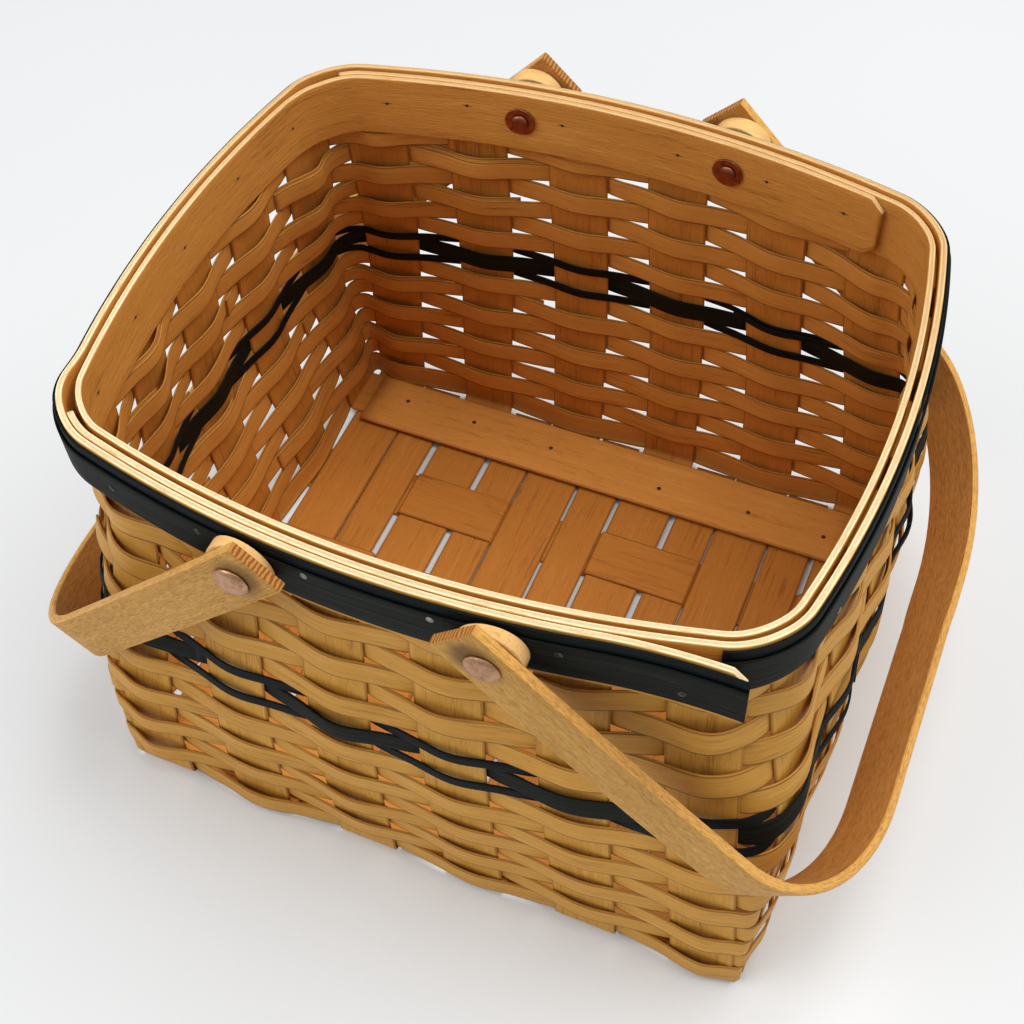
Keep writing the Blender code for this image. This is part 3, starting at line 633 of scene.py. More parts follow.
# the edge amounts of these three set how dark their painted shade lines along the long edges are
SPLINT = wood_material("splint_maple", WOOD, SHADED_INSIDE, fine=0.9, edge_gap_shade=0.55)
BOARD_WOOD = wood_material("board_maple", WOOD, PALE, fine=0.8, edge_gap_shade=0.4)
NATURAL = wood_material("weaver_maple", WOOD, WARM, edge_gap_shade=0.85)
RIM_WOOD = wood_material("rim_maple", WOOD, WARM, fine=0.75, top=CREAM, relief=0.0009)
SPACER_WOOD = wood_material("spacer_maple",
                            {"light": (0.84, 0.58, 0.26), "mid": (0.74, 0.44, 0.16),
                             "dark": (0.48, 0.24, 0.08)}, WOOD, fine=0.6)
NAVY = dyed_material("navy_dye", (0.0034, 0.0064, 0.0082), (0.017, 0.025, 0.026))
GREEN = dyed_material("green_dye", (0.0060, 0.0086, 0.0066), (0.026, 0.031, 0.021))
HANDLE_WOOD = handle_material()
RIVET_METAL = metal_material("rivet_copper", (0.52, 0.30, 0.18), (0.36, 0.185, 0.10), 0.42,
                             scale=700.0, share=0.44, tail=(0.32, 0.110, 0.058))
WASHER_METAL = metal_material("washer_copper", (0.46, 0.155, 0.075), (0.20, 0.062, 0.032), 0.44)
NAIL_METAL = metal_material("nail_steel", (0.34, 0.32, 0.29), (0.12, 0.105, 0.09), 0.45)
NAIL_DULL = metal_material("nail_dull", (0.105, 0.098, 0.088), (0.016, 0.016, 0.015), 0.55,
                           metallic=0.6, scale=1500.0, share=0.54)
MARK_RUST = metal_material("nail_mark", (0.050, 0.026, 0.014), (0.016, 0.010, 0.007), 0.7,
                           metallic=0.0)


# ---------------------------------------------------------------- weaving

def row_levels():
    """(low edge, height, colour) of every row, top row first."""
    pitches = [(natural_pitch, "natural")] * 8
    pitches += [(navy_pitch, "navy"), (green_pitch, "green"), (navy_pitch, "navy")]
    pitches += [(natural_pitch, "natural")] * 5 + [(natural_pitch * top_row_share, "natural")]
    levels = []
    low = row_start_height
    for pitch, colour in pitches:
        levels.append((low, pitch - row_gap, colour))
        low += pitch
    bottom, height, colour = levels[0]
    levels[0] = (bottom - foot_reach, height + foot_reach, colour)
    return levels[::-1]


def weave_offset(q, z, sign_first):
    """Distance of a weaver's middle from the wall, out at one upright and in at the next."""
    order = np.floor(q).astype(int)
    f = q - order
    k = weave_roundness

    def reach(i):
        apart = (upright_way(i + 1, z) - upright_way(i - 1, z)) / 2
        edge = upright_width / 2 / apart
        shape = np.cos(math.pi * edge) + k * np.cos(3 * math.pi * edge)
        return (pass_offset + weave_slack) / shape

    size = blend(reach(order), reach(order + 1), f)
    sign = np.where(order % 2 == 0, sign_first, -sign_first)
    return sign * size * (np.cos(math.pi * f) + k * np.cos(3 * math.pi * f))


# where each row's overlapped ends lie, counted in uprights from the back left one
ROW_STARTS = (15.25, 20.45, 14.3, 19.4, 13.3, 15.6, 3.6, 12.4, 6.5, 15.3, 20.5, 14.6, 16.3,
              13.7, 19.5, 15.5, 14.3)
ROW_OVERLAPS = (3.4, 3.9, 3.6, 4.0, 3.5, 3.0, 2.1, 3.0, 2.2, 3.9, 3.1, 4.0, 3.1, 3.9, 3.8, 3.1,
                4.0)


def bend_inset(z):
    """How far the long splints' bend lies inside the wall at height z."""
    rise = np.clip((level_strip + bend_radius_long - z) / bend_radius_long, 0.0, 1.0)
    return bend_radius_long * (1 - np.sqrt(1 - rise ** 2))


def foot_tuck(q):
    """1 along the two long walls, where the bottom row follows the bend, 0 elsewhere."""
    lap = q % UPRIGHTS
    back = smooth_step((5.45 - np.minimum(lap, np.abs(lap - UPRIGHTS))) / 0.35)
    back *= np.where(lap > UPRIGHTS - 1, smooth_step((lap - UPRIGHTS + 0.45) / 0.35), 1.0)
    front = smooth_step((2.95 - np.abs(lap - 13.5)) / 0.35)
    return np.maximum(back, front)


def build_weavers():
    levels = row_levels()
    heave = wander(len(levels), 0.00012)
    lean = wander(len(levels), 0.030, (3, 4, 7, 11))
    swell = wander(len(levels), 0.10, (2, 5, 9, 11))
    paints = {"natural": NATURAL, "navy": NAVY, "green": GREEN}
    for row, (low, height, colour) in enumerate(levels):
        start, overlap = ROW_STARTS[row], ROW_OVERLAPS[row]
        steps = int(round((UPRIGHTS + overlap) * stations_per_upright))
        q = start + np.linspace(0.0, UPRIGHTS + overlap, steps + 1)
        first = smooth_step((start + overlap + 0.5 - q) / 0.5)
        second = smooth_step((q - start - UPRIGHTS + 0.5) / 0.5)
        doubled = np.maximum(first, second)
        middle = low + height / 2 + heave(row, q) + (second - first) * ply_shift / 2
        tall = height - doubled * ply_shift - 0.0002
        inside_first = (row + 1) % 2 == 1
        size = 1 + swell(row, q) + doubled * (weaver_thickness / 2) / pass_offset
        offset = weave_offset(q, middle, -1 if inside_first else 1) * size
        offset += (second - first) * (weaver_thickness + 0.00006) / 2
        places, halves = columns_of(height, weaver_thickness)
        qq = q[:, None]
        z = middle[:, None] + places[None, :] * tall[:, None]
        side, share, way = ring_place(np.broadcast_to(qq, z.shape), z)
        point, normal = surface(side, share, z)
        tip = offset[:, None] + lean(row, q)[:, None] * places[None, :] * height
        if row == len(levels) - 1:
            tip = tip - foot_tuck(q)[:, None] * bend_inset(z)
        point = point + normal * tip[..., None]
        name = "splint_row_%02d" % (row + 1)
        piece = ribbon(name, point, normal, halves, way.mean(axis=1),
                       places[None, :] * height, paints[colour], row + 1.0)
        settle(piece, "basket", "weaver_" + colour, "weaver_%02d_%s" % (row + 1, colour))


# ---------------------------------------------------------------- uprights and base

def wall_run(side, index, places, heights):
    """Points and normals of an upright's columns at these heights."""
    kind = side % 2
    z = heights[:, None]
    middle = (COUNTS[side] - 1) / 2
    way = (index - middle) * upright_pitch(kind, z) + places[None, :] * upright_width
    share = way / half_side(kind, z)
    return surface(np.full(share.shape, side), share, np.broadcast_to(z, share.shape))


def climb(side, index, places, level, radius):
    """An upright from the end of its base run, round its bend and up to its top."""
    heights = np.concatenate([np.linspace(level + radius, weave_top, 40), [upright_top]])
    points, normals = wall_run(side, index, places, heights)
    angles = np.linspace(0.0, math.pi / 2, 8, endpoint=False)
    foot, out = points[0], normals[0]
    bend_points = []
    bend_normals = []
    for angle in angles:
        place = foot - out * radius * (1 - math.sin(angle))
        place[:, 2] = level + radius * (1 - math.cos(angle))
        normal = out * math.sin(angle)
        normal[:, 2] = -math.cos(angle)
        bend_points.append(place)
        bend_normals.append(normal)
    return (np.concatenate([np.array(bend_points), points]),
            np.concatenate([np.array(bend_normals), normals]))


def run_lengths(points):
    middle = points[:, points.shape[1] // 2]
    steps = np.linalg.norm(np.diff(middle, axis=0), axis=1)
    return np.concatenate([[0.0], np.cumsum(steps)])


def build_long_uprights():
    places, halves = columns_of(upright_width, upright_thickness, 5)
    for index in range(COUNTS[0]):
        back = climb(0, index, places, level_strip, bend_radius_long)
        front = climb(2, COUNTS[0] - 1 - index, -places, level_strip, bend_radius_long)
        shares = np.linspace(0.0, 1.0, 14)[1:-1, None, None]
        middle = blend(front[0][0][None], back[0][0][None], shares)
        down = np.zeros_like(middle)
        down[..., 2] = -1.0
        points = np.concatenate([front[0][::-1], middle, back[0]])
        normals = np.concatenate([front[1][::-1], down, back[1]])
        piece = ribbon("splint_long_%d" % (index + 1), points, normals, halves,
                       run_lengths(points), places[None, :] * upright_width, SPLINT,
                       20.0 + index)
        settle(piece, "basket", "splint", "upright_long_%d" % (index + 1))


def cross_levels(index):
    levels = []
    for pair in range(COUNTS[0]):
        levels.append(level_over if (index + pair) % 2 == 0 else level_under)
    return levels


def build_cross_uprights():
    places, halves = columns_of(upright_width, upright_thickness, 5)
    steps = [(i - 2.5) * strip_pitch - (upright_width + slit_width) / 2
             for i in range(1, COUNTS[0])]
    for index in range(COUNTS[1]):
        levels = cross_levels(index)
        left = climb(3, COUNTS[1] - 1 - index, -places, levels[0], bend_radius_cross)
        right = climb(1, index, places, levels[-1], bend_radius_cross)
        path = []
        for x, before, after in zip(steps, levels, levels[1:]):
            for share in (-1.6, -1.0, -0.8, -0.6, -0.3, 0.0, 0.3, 0.6, 0.8, 1.0, 1.6):
                level = blend(before, after, float(smooth_step((share + 1) / 2)))
                path.append((x + share * 0.00095, level))
            path.append((x + strip_pitch / 2, after))
        path = np.array(path[:-1])
        slope = np.gradient(path[:, 1], path[:, 0])
        lean = np.stack([slope, np.zeros_like(slope), -np.ones_like(slope)], axis=1)
        lean /= np.linalg.norm(lean, axis=1)[:, None]
        rows = left[0][0][:, 1]
        middle = np.zeros((len(path), len(places), 3))
        middle[..., 0] = path[:, 0][:, None]
        middle[..., 1] = rows[None, :]
        middle[..., 2] = path[:, 1][:, None]
        normal = np.broadcast_to(lean[:, None, :], middle.shape)
        points = np.concatenate([left[0][::-1], middle, right[0]])
        normals = np.concatenate([left[1][::-1], normal, right[1]])
        piece = ribbon("splint_cross_%d" % (index + 1), points, normals, halves,
                       run_lengths(points), places[None, :] * upright_width, SPLINT,
                       30.0 + index)
        settle(piece, "basket", "splint", "upright_cross_%d" % (index + 1))


def flat_strip(name, start, end, middle, z, width, thickness, along_x, material, seed):
    """A straight strip lying flat, with rounded edges."""
    places, halves = columns_of(width, thickness, 5)
    ways = np.linspace(start, end, 24)
    points = np.zeros((len(ways), len(places), 3))
    points[..., 0 if along_x else 1] = ways[:, None]
    points[..., 1 if along_x else 0] = middle + places[None, :] * width * (-1 if along_x else 1)
    points[..., 2] = z
    normals = np.zeros_like(points)
    normals[..., 2] = -1.0
    return ribbon(name, points, normals, halves, ways - start, places[None, :] * width,
                  material, seed)


def build_base():
    reach = wall_half_depth - filler_end_inset
    for index in range(COUNTS[0] - 1):
        middle = (index - 2) * strip_pitch + filler_shifts[index]
        piece = flat_strip("splint_filler_%d" % (index + 1), -reach, reach, middle, level_strip,
                           filler_width, upright_thickness, False, SPLINT, 40.0 + index)
        settle(piece, "basket", "splint", "base_filler_%d" % (index + 1))
    for name, sign in (("back", 1), ("front", -1)):
        middle = sign * (board_outer_edge - board_width / 2)
        piece = flat_strip("board_" + name, board_shift - board_half_length,
                           board_shift + board_half_length, middle,
                           board_bottom + board_thickness / 2, board_width, board_thickness,
                           True, BOARD_WOOD, 46.0 + sign)
        settle(piece, "basket", "splint", "base_board_" + name)


# ---------------------------------------------------------------- rim

def mark_places(marks):
    side = np.floor(marks / 2).astype(int) % 4
    return side, marks % 2 - 1


def band_rows(marks, offsets, lows, highs, places):
    side, share = mark_places(marks)
    z = lows[:, None] + (places[None, :] + 0.5) * (highs - lows)[:, None]
    shape = z.shape
    point, normal = surface(np.broadcast_to(side[:, None], shape),
                            np.broadcast_to(share[:, None], shape), z)
    return point + normal * offsets[:, None, None], normal


def between(marks, begin, end):
    return smooth_step((marks - begin) / (end - begin))


def inner_band():
    width = band_width
    places, halves = columns_of(width, inner_band_thickness, 7, 0.55)
    marks = np.linspace(inner_marks[0], inner_marks[1], 720)
    first = -(ply_gap + inner_band_thickness / 2)
    offsets = first - (inner_band_thickness + clearance) * between(marks, *inner_turn)
    length = half_side(0, rim_height)
    clip = np.clip((marks - inner_marks[1]) * length / inner_end_clip + 1, 0, 1)
    clip = clip * inner_end_clip * 0.9
    lows = inner_band_bottom + clip
    highs = inner_band_top - clip
    points, normals = band_rows(marks, offsets, lows, highs, places)
    piece = ribbon("rim_inside", points, normals, halves, run_lengths(points),
                   places[None, :] * width, RIM_WOOD, 51.0, top_edge=True)
    settle(piece, "basket", "rim_wood", "rim_band_inner")


def lapped_band(name, node, begin, first, low, high, thickness, length, chamfer, material,
                slot, seed, top_edge, ease):
    """An outside strip from its start to the end of the straight tail of the lap."""
    width = high - low
    places, halves = columns_of(width, thickness, 5, ease)
    marks = np.linspace(begin, outer_marks[1], 640)
    step = outer_band_thickness + clearance
    offsets = first + step * between(marks, *outer_turn)
    lows = np.full(len(marks), low)
    highs = np.full(len(marks), high)
    points, normals = band_rows(marks, offsets, lows, highs, places)
    start, out = points[-1], normals[-1]
    along = np.stack([-out[:, 1], out[:, 0], np.zeros(len(out))], axis=1)
    tail_points = []
    ways = np.concatenate([np.linspace(0, length - chamfer, 18)[1:],
                           np.linspace(length - chamfer, length, 5)[1:]])
    for way in ways:
        place = start + along * way + out * lap_tail_splay * (way / lap_tail_length) ** 2
        cut = max(0.0, way - length + chamfer)
        place[:, 2] = low + (places + 0.5) * (width - cut)
        tail_points.append(place)
    points = np.concatenate([points, np.array(tail_points)])
    normals = np.concatenate([normals, np.repeat(out[None], len(ways), axis=0)])
    piece = ribbon(name, points, normals, halves, run_lengths(points),
                   places[None, :] * width, material, seed, top_edge=top_edge)
    settle(piece, "basket", slot, node)


def build_rim():
    inner_band()
    first = ply_gap + outer_band_thickness / 2
    lapped_band("rim_outside", "rim_band_outer", outer_marks[0], first,
                rim_height - band_width, rim_height, outer_band_thickness, lap_tail_length,
                lap_tail_chamfer, RIM_WOOD, "rim_wood", 52.0, True, 0.55)
    navy = ply_gap + outer_band_thickness + clearance + trim_thickness / 2
    green = navy + trim_thickness + clearance
    middle = rim_height - trim_drop - navy_trim_width / 2
    navy_middle = middle + navy_trim_raise / 2
    for name, node, width, centre, offset, material, slot, seed in (
            ("wrap_navy", "trim_navy", navy_trim_width - navy_trim_raise, navy_middle, navy,
             NAVY, "navy_stain", 53.0),
            ("wrap_green", "trim_green", green_trim_width, middle, green,
             GREEN, "green_stain", 54.0)):
        lapped_band(name, node, trim_start, offset, centre - width / 2, centre + width / 2,
                    trim_thickness, lap_tail_length + trim_overhang, trim_overhang, material,
                    slot, seed, False, 0.8)


# ---------------------------------------------------------------- round pieces

def rim_face(x, offset):
    """Distance from the middle plane of a face at this offset from the wall, at this x."""
    table = WALL[0, -1]
    return np.interp(np.abs(x), table[:, 0] + table[:, 2] * offset,
                     table[:, 1] + table[:, 3] * offset)


def stack_faces(out):
    outside = ply_gap + outer_band_thickness + 2 * (trim_thickness + clearance)
    inside = -(ply_gap + inner_band_thickness)
    if out < 0:
        return outside + outer_band_thickness + clearance, inside
    return outside, inside - inner_band_thickness - clearance


def lathe(name, centre_x, out, rings, material, hole, seed, wobble=0.0):
    """Round piece about an axis along Y through the pivot; rings are (radius, y of x)."""
    angles = np.linspace(0, 2 * math.pi, lathe_steps, endpoint=False)
    verts = []
    grain = []
    for number, (radius, place) in enumerate(rings):
        dent = 1 + wobble * np.sin(angles * 3 + seed) + wobble * np.sin(angles * 5 + 2 * seed)
        x = centre_x + radius * dent * np.cos(angles)
        z = pivot_height + radius * dent * np.sin(angles)
        y = np.broadcast_to(place(x), x.shape)
        verts.append(np.stack([x, out * y, z], axis=1))
        grain.append(np.stack([x - centre_x + seed, z, y - arm_face], axis=1))
    count = len(rings)
    faces = []
    for r in range(count if hole else count - 1):
        a, b = r * lathe_steps, (r + 1) % count * lathe_steps
        for i in range(lathe_steps):
            j = (i + 1) % lathe_steps
            face = (a + i, a + j, b + j, b + i)
            faces.append(face if out > 0 else face[::-1])
    if not hole:
        for ring, flip in ((0, out > 0), (count - 1, out < 0)):
            loop = list(range(ring * lathe_steps, (ring + 1) * lathe_steps))
            faces.append(tuple(loop[::-1]) if flip else tuple(loop))
    verts = np.concatenate(verts)
    shade = np.zeros_like(verts)
    return finish_piece(name, verts, faces, material, np.concatenate(grain), shade)


def eased_rim(radius, near, far, ease):
    """Rings from a near to a far face at this radius, with rounded edges."""
    steps = np.radians((0.0, 30.0, 60.0, 90.0))
    rings = []
    for angle in steps:
        rings.append((radius - ease * (1 - math.sin(angle)),
                      lambda x, a=angle: near(x) + ease * (1 - math.cos(a))))
    for angle in steps[::-1]:
        rings.append((radius - ease * (1 - math.sin(angle)),
                      lambda x, a=angle: far(x) - ease * (1 - math.cos(a))))
    return rings


def build_fittings():
    number = 0
    for side, sign in (("left", -1), ("right", 1)):
        for face, out in (("front", -1), ("back", 1)):
            number += 1
            tail = side + "_" + face
            x0 = sign * pivot_offset
            outside, inside = stack_faces(out)
            hole = shank_radius + clearance
            near = outside + clearance
            far = arm_face - handle_thickness - clearance
            rings = [(hole, lambda x: rim_face(x, near))]
            rings += eased_rim(spacer_radius, lambda x: rim_face(x, near),
                               lambda x: far + 0 * x, 0.0006)
            rings += [(hole, lambda x: far + 0 * x)]
            piece = lathe("disc_" + tail, x0, out, rings, SPACER_WOOD, True, 60.0 + number)
            settle(piece, "basket", "handle_wood", "spacer_" + tail)

            top = inside - clearance
            low = top - washer_thickness
            rings = [(hole, lambda x: rim_face(x, low) + 0.0003)]
            rings += [(washer_radius * 0.55, lambda x: rim_face(x, low) + 0.0002)]
            rings += eased_rim(washer_radius, lambda x: rim_face(x, low),
                               lambda x: rim_face(x, top), 0.0003)
            rings += [(hole, lambda x: rim_face(x, top))]
            piece = lathe("burr_" + tail, x0, out, rings, WASHER_METAL, True, 70.0 + number,
                          0.008)
            settle(piece, "basket", "copper", "washer_" + tail)

            seat = inside - washer_thickness - 2 * clearance
            base = arm_face + clearance
            rings = []
            for angle in np.radians((12, 30, 50, 70, 85)):
                rings.append((tail_radius * math.sin(angle),
                              lambda x, a=angle: rim_face(x, seat - tail_height * math.cos(a))))
            rings.append((tail_radius, lambda x: rim_face(x, seat)))
            rings.append((shank_radius, lambda x: rim_face(x, seat)))
            rings.append((shank_radius, lambda x: base + 0 * x))
            rings.append((head_radius - 0.0003, lambda x: base + 0 * x))
            for angle in np.radians((4, 14, 26, 38, 50, 62, 74, 84)):
                worn = min(math.sin(angle), 0.93 + 0.07 * math.sin(angle))
                rings.append((head_radius * math.cos(angle),
                              lambda x, w=worn: base + head_height * w + 0 * x))
            piece = lathe("stud_" + tail, x0, out, rings, RIVET_METAL, False, 80.0 + number,
                          0.006)
            settle(piece, "basket", "copper", "rivet_" + tail)


# ---------------------------------------------------------------- handles

def handle_half(face):
    """Middle line of one arm and its bend: (reach from the pivot line, way out)."""
    bend_along, bend_across = handle_bends[face]
    middle_y = arm_face - handle_thickness / 2
    straight = handle_reach - handle_thickness / 2 - bend_along
    path = [(way, middle_y) for way in np.linspace(-handle_end, 0.0, 8)]
    for share in np.concatenate([np.linspace(0, 0.16, 9)[1:], np.linspace(0.16, 1, 18)[1:]]):
        path.append((straight * share, middle_y - arm_draw_in * share * share))
    for angle in np.linspace(0, math.pi / 2, 40)[1:]:
        path.append((straight + bend_along * math.sin(angle),
                     middle_y - arm_draw_in - bend_across * (1 - math.cos(angle))))
    return path


def rounded_section(ease, steps=4):
    """Loop of (outward, across) round a rounded rectangle, and 1 where it is a wide face."""
    half_t, half_w = handle_thickness / 2, handle_width / 2
    loop = []
    faces = []
    for corner, (so, sa) in enumerate(((1, 1), (-1, 1), (-1, -1), (1, -1))):
        for step in range(steps + 1):
            angle = math.pi / 2 * step / steps
            if corner in (1, 3):
                angle = math.pi / 2 - angle
            loop.append((so * (half_t - ease * (1 - math.cos(angle))),
                         sa * (half_w - ease * (1 - math.sin(angle)))))
            faces.append(1.0 if angle < 0.25 else 0.0)
    flat = half_w - ease
    for across in np.linspace(-flat, flat, 9)[1:-1]:
        loop.append((half_t, across))
        faces.append(1.0)
    return loop, faces


def build_handle(side, sign, seed):
    path = ([(r, -y) for r, y in handle_half("front")]
            + [(handle_reach - handle_thickness / 2, y) for y in
               np.linspace(-0.060, 0.040, 12)]
            + list(reversed(handle_half("back"))))
    path = np.array(path)
    steps = np.linalg.norm(np.diff(path, axis=0), axis=1)
    ways = np.concatenate([[0.0], np.cumsum(steps)])
    length = ways[-1]
    reach_way = Vector((math.cos(handle_fold), 0.0, -math.sin(handle_fold)))
    across_way = Vector((math.sin(handle_fold), 0.0, math.cos(handle_fold)))
    pivot = Vector((pivot_offset, 0.0, pivot_height))
    verts, grain, shade = [], [], []
    count = len(path)

    def add_ring(i, pull, inset, end):
        before, after = path[max(i - 1, 0)], path[min(i + 1, count - 1)]
        along = (after - before) / np.linalg.norm(after - before)
        grip = float(smooth_step((ways[i] - grip_way[0]) / 0.004)
                     * smooth_step((grip_way[1] - ways[i]) / 0.004))
        loop, wide = rounded_section(blend(0.0006, 0.0017, grip))
        narrow = 1 - inset
        for (outward, across), flag in zip(loop, wide):
            o, a = outward * narrow, across * (1 - inset * 0.25)
            place = (pivot + reach_way * (path[i][0] + along[1] * o + along[0] * pull)
                     + across_way * a)
            place.y += path[i][1] - along[0] * o + along[1] * pull
            verts.append((sign * place.x, place.y, place.z))
            grain.append((ways[i] + seed * 2.3, a + seed * 0.11, o))
            # shade y: the darker patch round the rivet on the outer face, -1 on the inner face
            off = math.hypot(path[i][0] + dark_patch_shift, a)
            dark = -flag
            if outward > 0:
                dark = float(1 - smooth_step((off - dark_patch_radius) / dark_patch_fade))
            shade.append((flag if outward > 0 else 0.0, dark, end))

    add_ring(0, -0.0004, 0.12, 1.0)
    add_ring(0, 0.0, 0.0, 0.3)
    for i in range(1, count - 1):
        if steps[i - 1] > 1e-6:
            add_ring(i, 0.0, 0.0, 0.0)
    add_ring(count - 1, 0.0, 0.0, 0.3)
    add_ring(count - 1, 0.0004, 0.12, 1.0)
    around = len(rounded_section(0.001)[0])
    rings = len(verts) // around
    faces = []
    for r in range(rings - 1):
        for k in range(around):
            j = (k + 1) % around
            face = (r * around + k, r * around + j, (r + 1) * around + j, (r + 1) * around + k)
            faces.append(face if sign > 0 else face[::-1])
    for ring, flip in ((0, sign > 0), (rings - 1, sign < 0)):
        loop = list(range(ring * around, (ring + 1) * around))
        faces.append(tuple(loop[::-1]) if flip else tuple(loop))
    piece = finish_piece("bail_" + side, verts, faces, HANDLE_WOOD, grain, shade,
                         (len(faces) - 2, len(faces) - 1))
    settle(piece, side + "_handle", "handle_wood", "handle_" + side)


grip_way = (0.17, 0.36)
dark_patch_shift, dark_patch_radius, dark_patch_fade = 0.0050, 0.0055, 0.0065


# ---------------------------------------------------------------- nails

def stud(name, place, normal, radius, height, material, squash=1.0, way=None):
    """A low domed nail head on a face, or a mark in it; squash narrows it across way."""
    out = Vector(normal).normalized()
    side = Vector(way) if way is not None else out.cross(Vector((0, 0, 1)))
    if side.length < 1e-6:
        side = Vector((1, 0, 0))
    side.normalize()
    up = out.cross(side)
    profile = [(1.0, -0.35), (1.0, 0.05), (0.93, 0.45), (0.78, 0.74), (0.5, 0.93), (0.2, 1.0)]
    count = 18
    verts, faces = [], []
    for share, lift in profile:
        for k in range(count):
            angle = 2 * math.pi * k / count
            verts.append(Vector(place) + side * radius * share * math.cos(angle)
                         + up * radius * share * squash * math.sin(angle) + out * height * lift)
    for r in range(len(profile) - 1):
        for k in range(count):
            j = (k + 1) % count
            faces.append((r * count + k, r * count + j, (r + 1) * count + j, (r + 1) * count + k))
    faces.append(tuple(reversed(range(count))))
    last = (len(profile) - 1) * count
    faces.append(tuple(range(last, last + count)))
    piece = finish_piece(name, [tuple(v) for v in verts], faces, material)
    settle(piece, "basket", "copper")
    return piece


DULL_NAILS = (0, 1, 4, 8, 10, 13)
RIM_NAILS = ((5.78, 0.2270), (5.48, 0.2310), (5.16, 0.2330), (4.82, 0.2325), (4.50, 0.2300),
             (3.70, 0.2220), (2.85, 0.2280), (2.25, 0.2260), (1.62, 0.2260),
             (0.98, 0.2280), (0.35, 0.2265), (7.62, 0.2275), (6.95, 0.2265), (6.32, 0.2270))
tail_nail = (0.0330, 0.2225)
BAND_MARKS = ((0.20, 0.2275), (0.47, 0.2310), (0.79, 0.2285), (1.18, 0.2275), (1.48, 0.2285),
              (1.74, 0.2275), (7.76, 0.2265), (7.38, 0.2285), (6.97, 0.2260), (6.56, 0.2275),
              (6.19, 0.2255))


def build_nails():
    outer = ply_gap + outer_band_thickness + 2 * (trim_thickness + clearance)
    step = outer_band_thickness + clearance
    for number, (mark, z) in enumerate(RIM_NAILS):
        lapped = float(between(np.array(mark), 8 + outer_turn[0], 8 + outer_turn[1]))
        if mark < 8 + outer_marks[1]:
            lapped = 0.0
        side, share = mark_places(np.array(mark))
        point, normal = surface(side, share, np.array(z))
        place = point + normal * (outer + step * lapped)
        metal = NAIL_DULL if number in DULL_NAILS else NAIL_METAL
        stud("nail_rim_%02d" % (number + 1), place, normal, 0.00155, 0.00035, metal)
    mark = np.array(8 + outer_marks[1])
    side, share = mark_places(mark)
    point, normal = surface(side, share, np.array(tail_nail[1]))
    along = np.array([-normal[1], normal[0], 0.0])
    splay = lap_tail_splay * (tail_nail[0] / lap_tail_length) ** 2
    place = point + along * tail_nail[0] + normal * (outer + step + splay)
    stud("nail_lap", place, normal, 0.00155, 0.00035, NAIL_DULL)
    for number, (mark, z) in enumerate(BAND_MARKS):
        doubled = mark < inner_marks[1] - 8
        offset = -(ply_gap + inner_band_thickness)
        if doubled:
            offset -= inner_band_thickness + clearance
        side, share = mark_places(np.array(mark))
        point, normal = surface(side, share, np.array(z))
        place = point + normal * offset
        stud("nail_tip_%02d" % (number + 1), place, -normal, 0.00075, 0.00022, MARK_RUST)
        stud("nail_crack_%02d" % (number + 1), place, -normal, 0.0026, 0.00010, MARK_RUST, 0.07)


BOARD_NAILS = ((-0.1249, 0.1160), (-0.0828, 0.1152), (-0.0350, 0.1135), (0.0310, 0.1085),
               (0.0813, 0.1105), (0.1234, 0.1095), (-0.1180, -0.1130), (-0.0600, -0.1110),
               (-0.0050, -0.1145), (0.0520, -0.1120), (0.1190, -0.1130))


def build_board_nails():
    top = board_bottom + board_thickness
    for number, (x, y) in enumerate(BOARD_NAILS):
        stud("nail_board_%02d" % (number + 1), (x, y, top), (0, 0, 1), 0.0012, 0.0002,
             MARK_RUST)


# ---------------------------------------------------------------- stage

def build_floor():
    size, count = 6.0, 24
    steps = np.linspace(-size, size, count + 1)
    verts = [(x, y, -0.0002) for y in steps for x in steps]
    faces = []
    for r in range(count):
        for c in range(count):
            a = r * (count + 1) + c
            faces.append((a, a + 1, a + count + 2, a + count + 1))
    mesh = bpy.data.meshes.new("floor")
    mesh.from_pydata(verts, [], faces)
    mesh.materials.append(floor_material())
    floor = bpy.data.objects.new("floor", mesh)
    bpy.context.scene.collection.objects.link(floor)


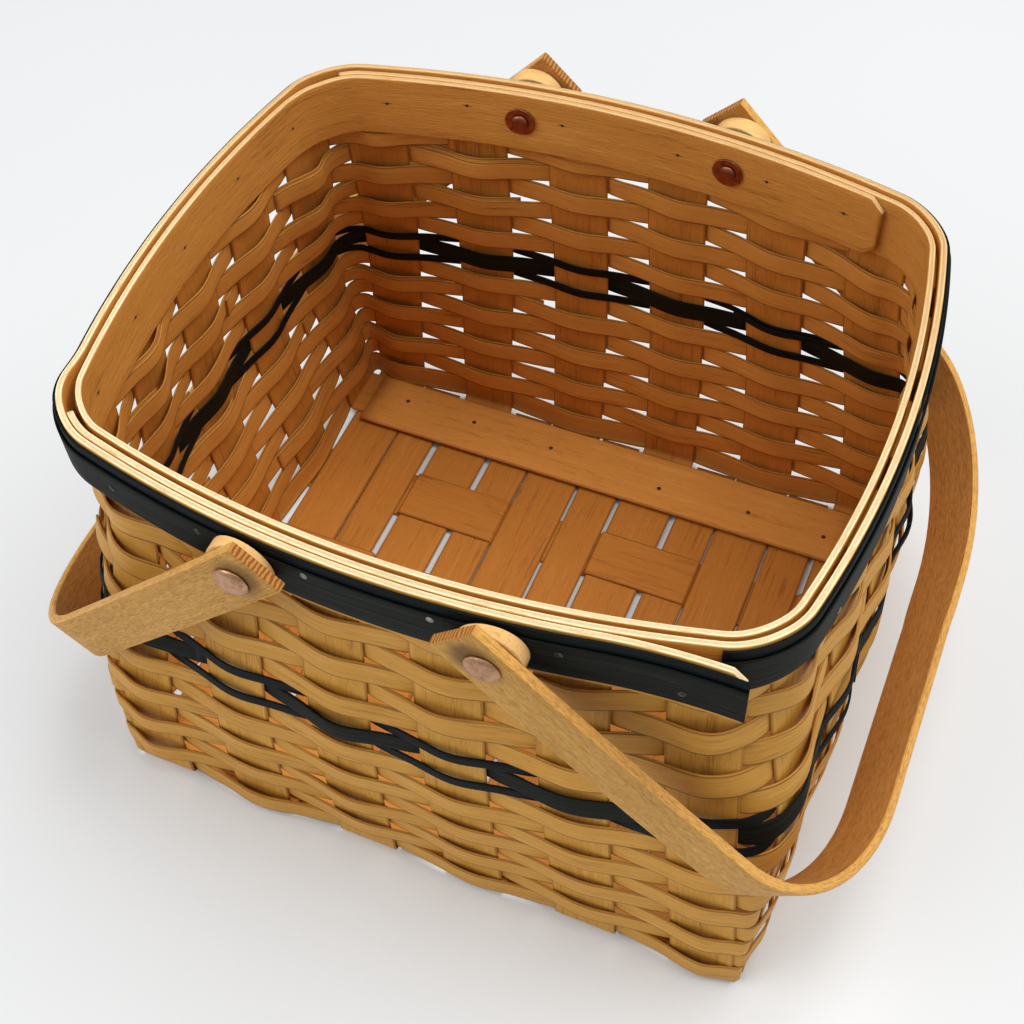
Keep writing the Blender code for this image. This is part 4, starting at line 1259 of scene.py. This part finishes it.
def add_lamp(name, place, aim, size, power, colour):
    data = bpy.data.lights.new(name, "AREA")
    data.shape = "DISK"
    data.size = size
    data.energy = power
    data.color = colour
    lamp = bpy.data.objects.new(name, data)
    lamp.location = place
    lamp.rotation_euler = (Vector(aim) - Vector(place)).to_track_quat("-Z", "Y").to_euler()
    bpy.context.scene.collection.objects.link(lamp)


def build_light():
    world = bpy.data.worlds.new("studio")
    bpy.context.scene.world = world
    world.use_nodes = True
    background = world.node_tree.nodes["Background"]
    background.inputs["Color"].default_value = (0.95, 0.975, 1.0, 1.0)
    background.inputs["Strength"].default_value = 0.43
    add_lamp("key", (0.55, 0.35, 1.70), (0.0, 0.0, 0.1), 1.5, 28.0, (1.0, 0.985, 0.96))
    add_lamp("fill", (-1.1, -0.9, 1.5), (0.0, 0.0, 0.1), 1.6, 17.0, (1.0, 0.99, 0.97))


def build_camera():
    azimuth, elevation, roll = -0.44954, 0.93393, -0.062897
    focal, place = 1528.4, (0.17727, -0.38180, 0.67678)
    width = 1024
    look = Vector((math.sin(azimuth) * math.cos(elevation),
                   math.cos(azimuth) * math.cos(elevation), -math.sin(elevation)))
    right = look.cross(Vector((0, 0, 1))).normalized()
    up = right.cross(look)
    c, s = math.cos(roll), math.sin(roll)
    right, up = c * right + s * up, -s * right + c * up
    data = bpy.data.cameras.new("camera")
    data.sensor_fit = "HORIZONTAL"
    data.sensor_width = 36.0
    data.lens = focal / width * data.sensor_width
    data.clip_start = 0.01
    camera = bpy.data.objects.new("camera", data)
    turn = Matrix((right, up, -look)).transposed().to_4x4()
    camera.matrix_world = Matrix.Translation(Vector(place)) @ turn
    bpy.context.scene.collection.objects.link(camera)
    bpy.context.scene.camera = camera


# ---------------------------------------------------------------- whole scene

build_camera()
build_light()
build_floor()
build_weavers()
build_long_uprights()
build_cross_uprights()
build_base()
build_rim()
build_fittings()
build_handle("left", -1, 1.0)
build_handle("right", 1, 2.0)
build_nails()
build_board_nails()
bpy.context.scene.view_settings.view_transform = "Standard"
bpy.context.view_layer.update()
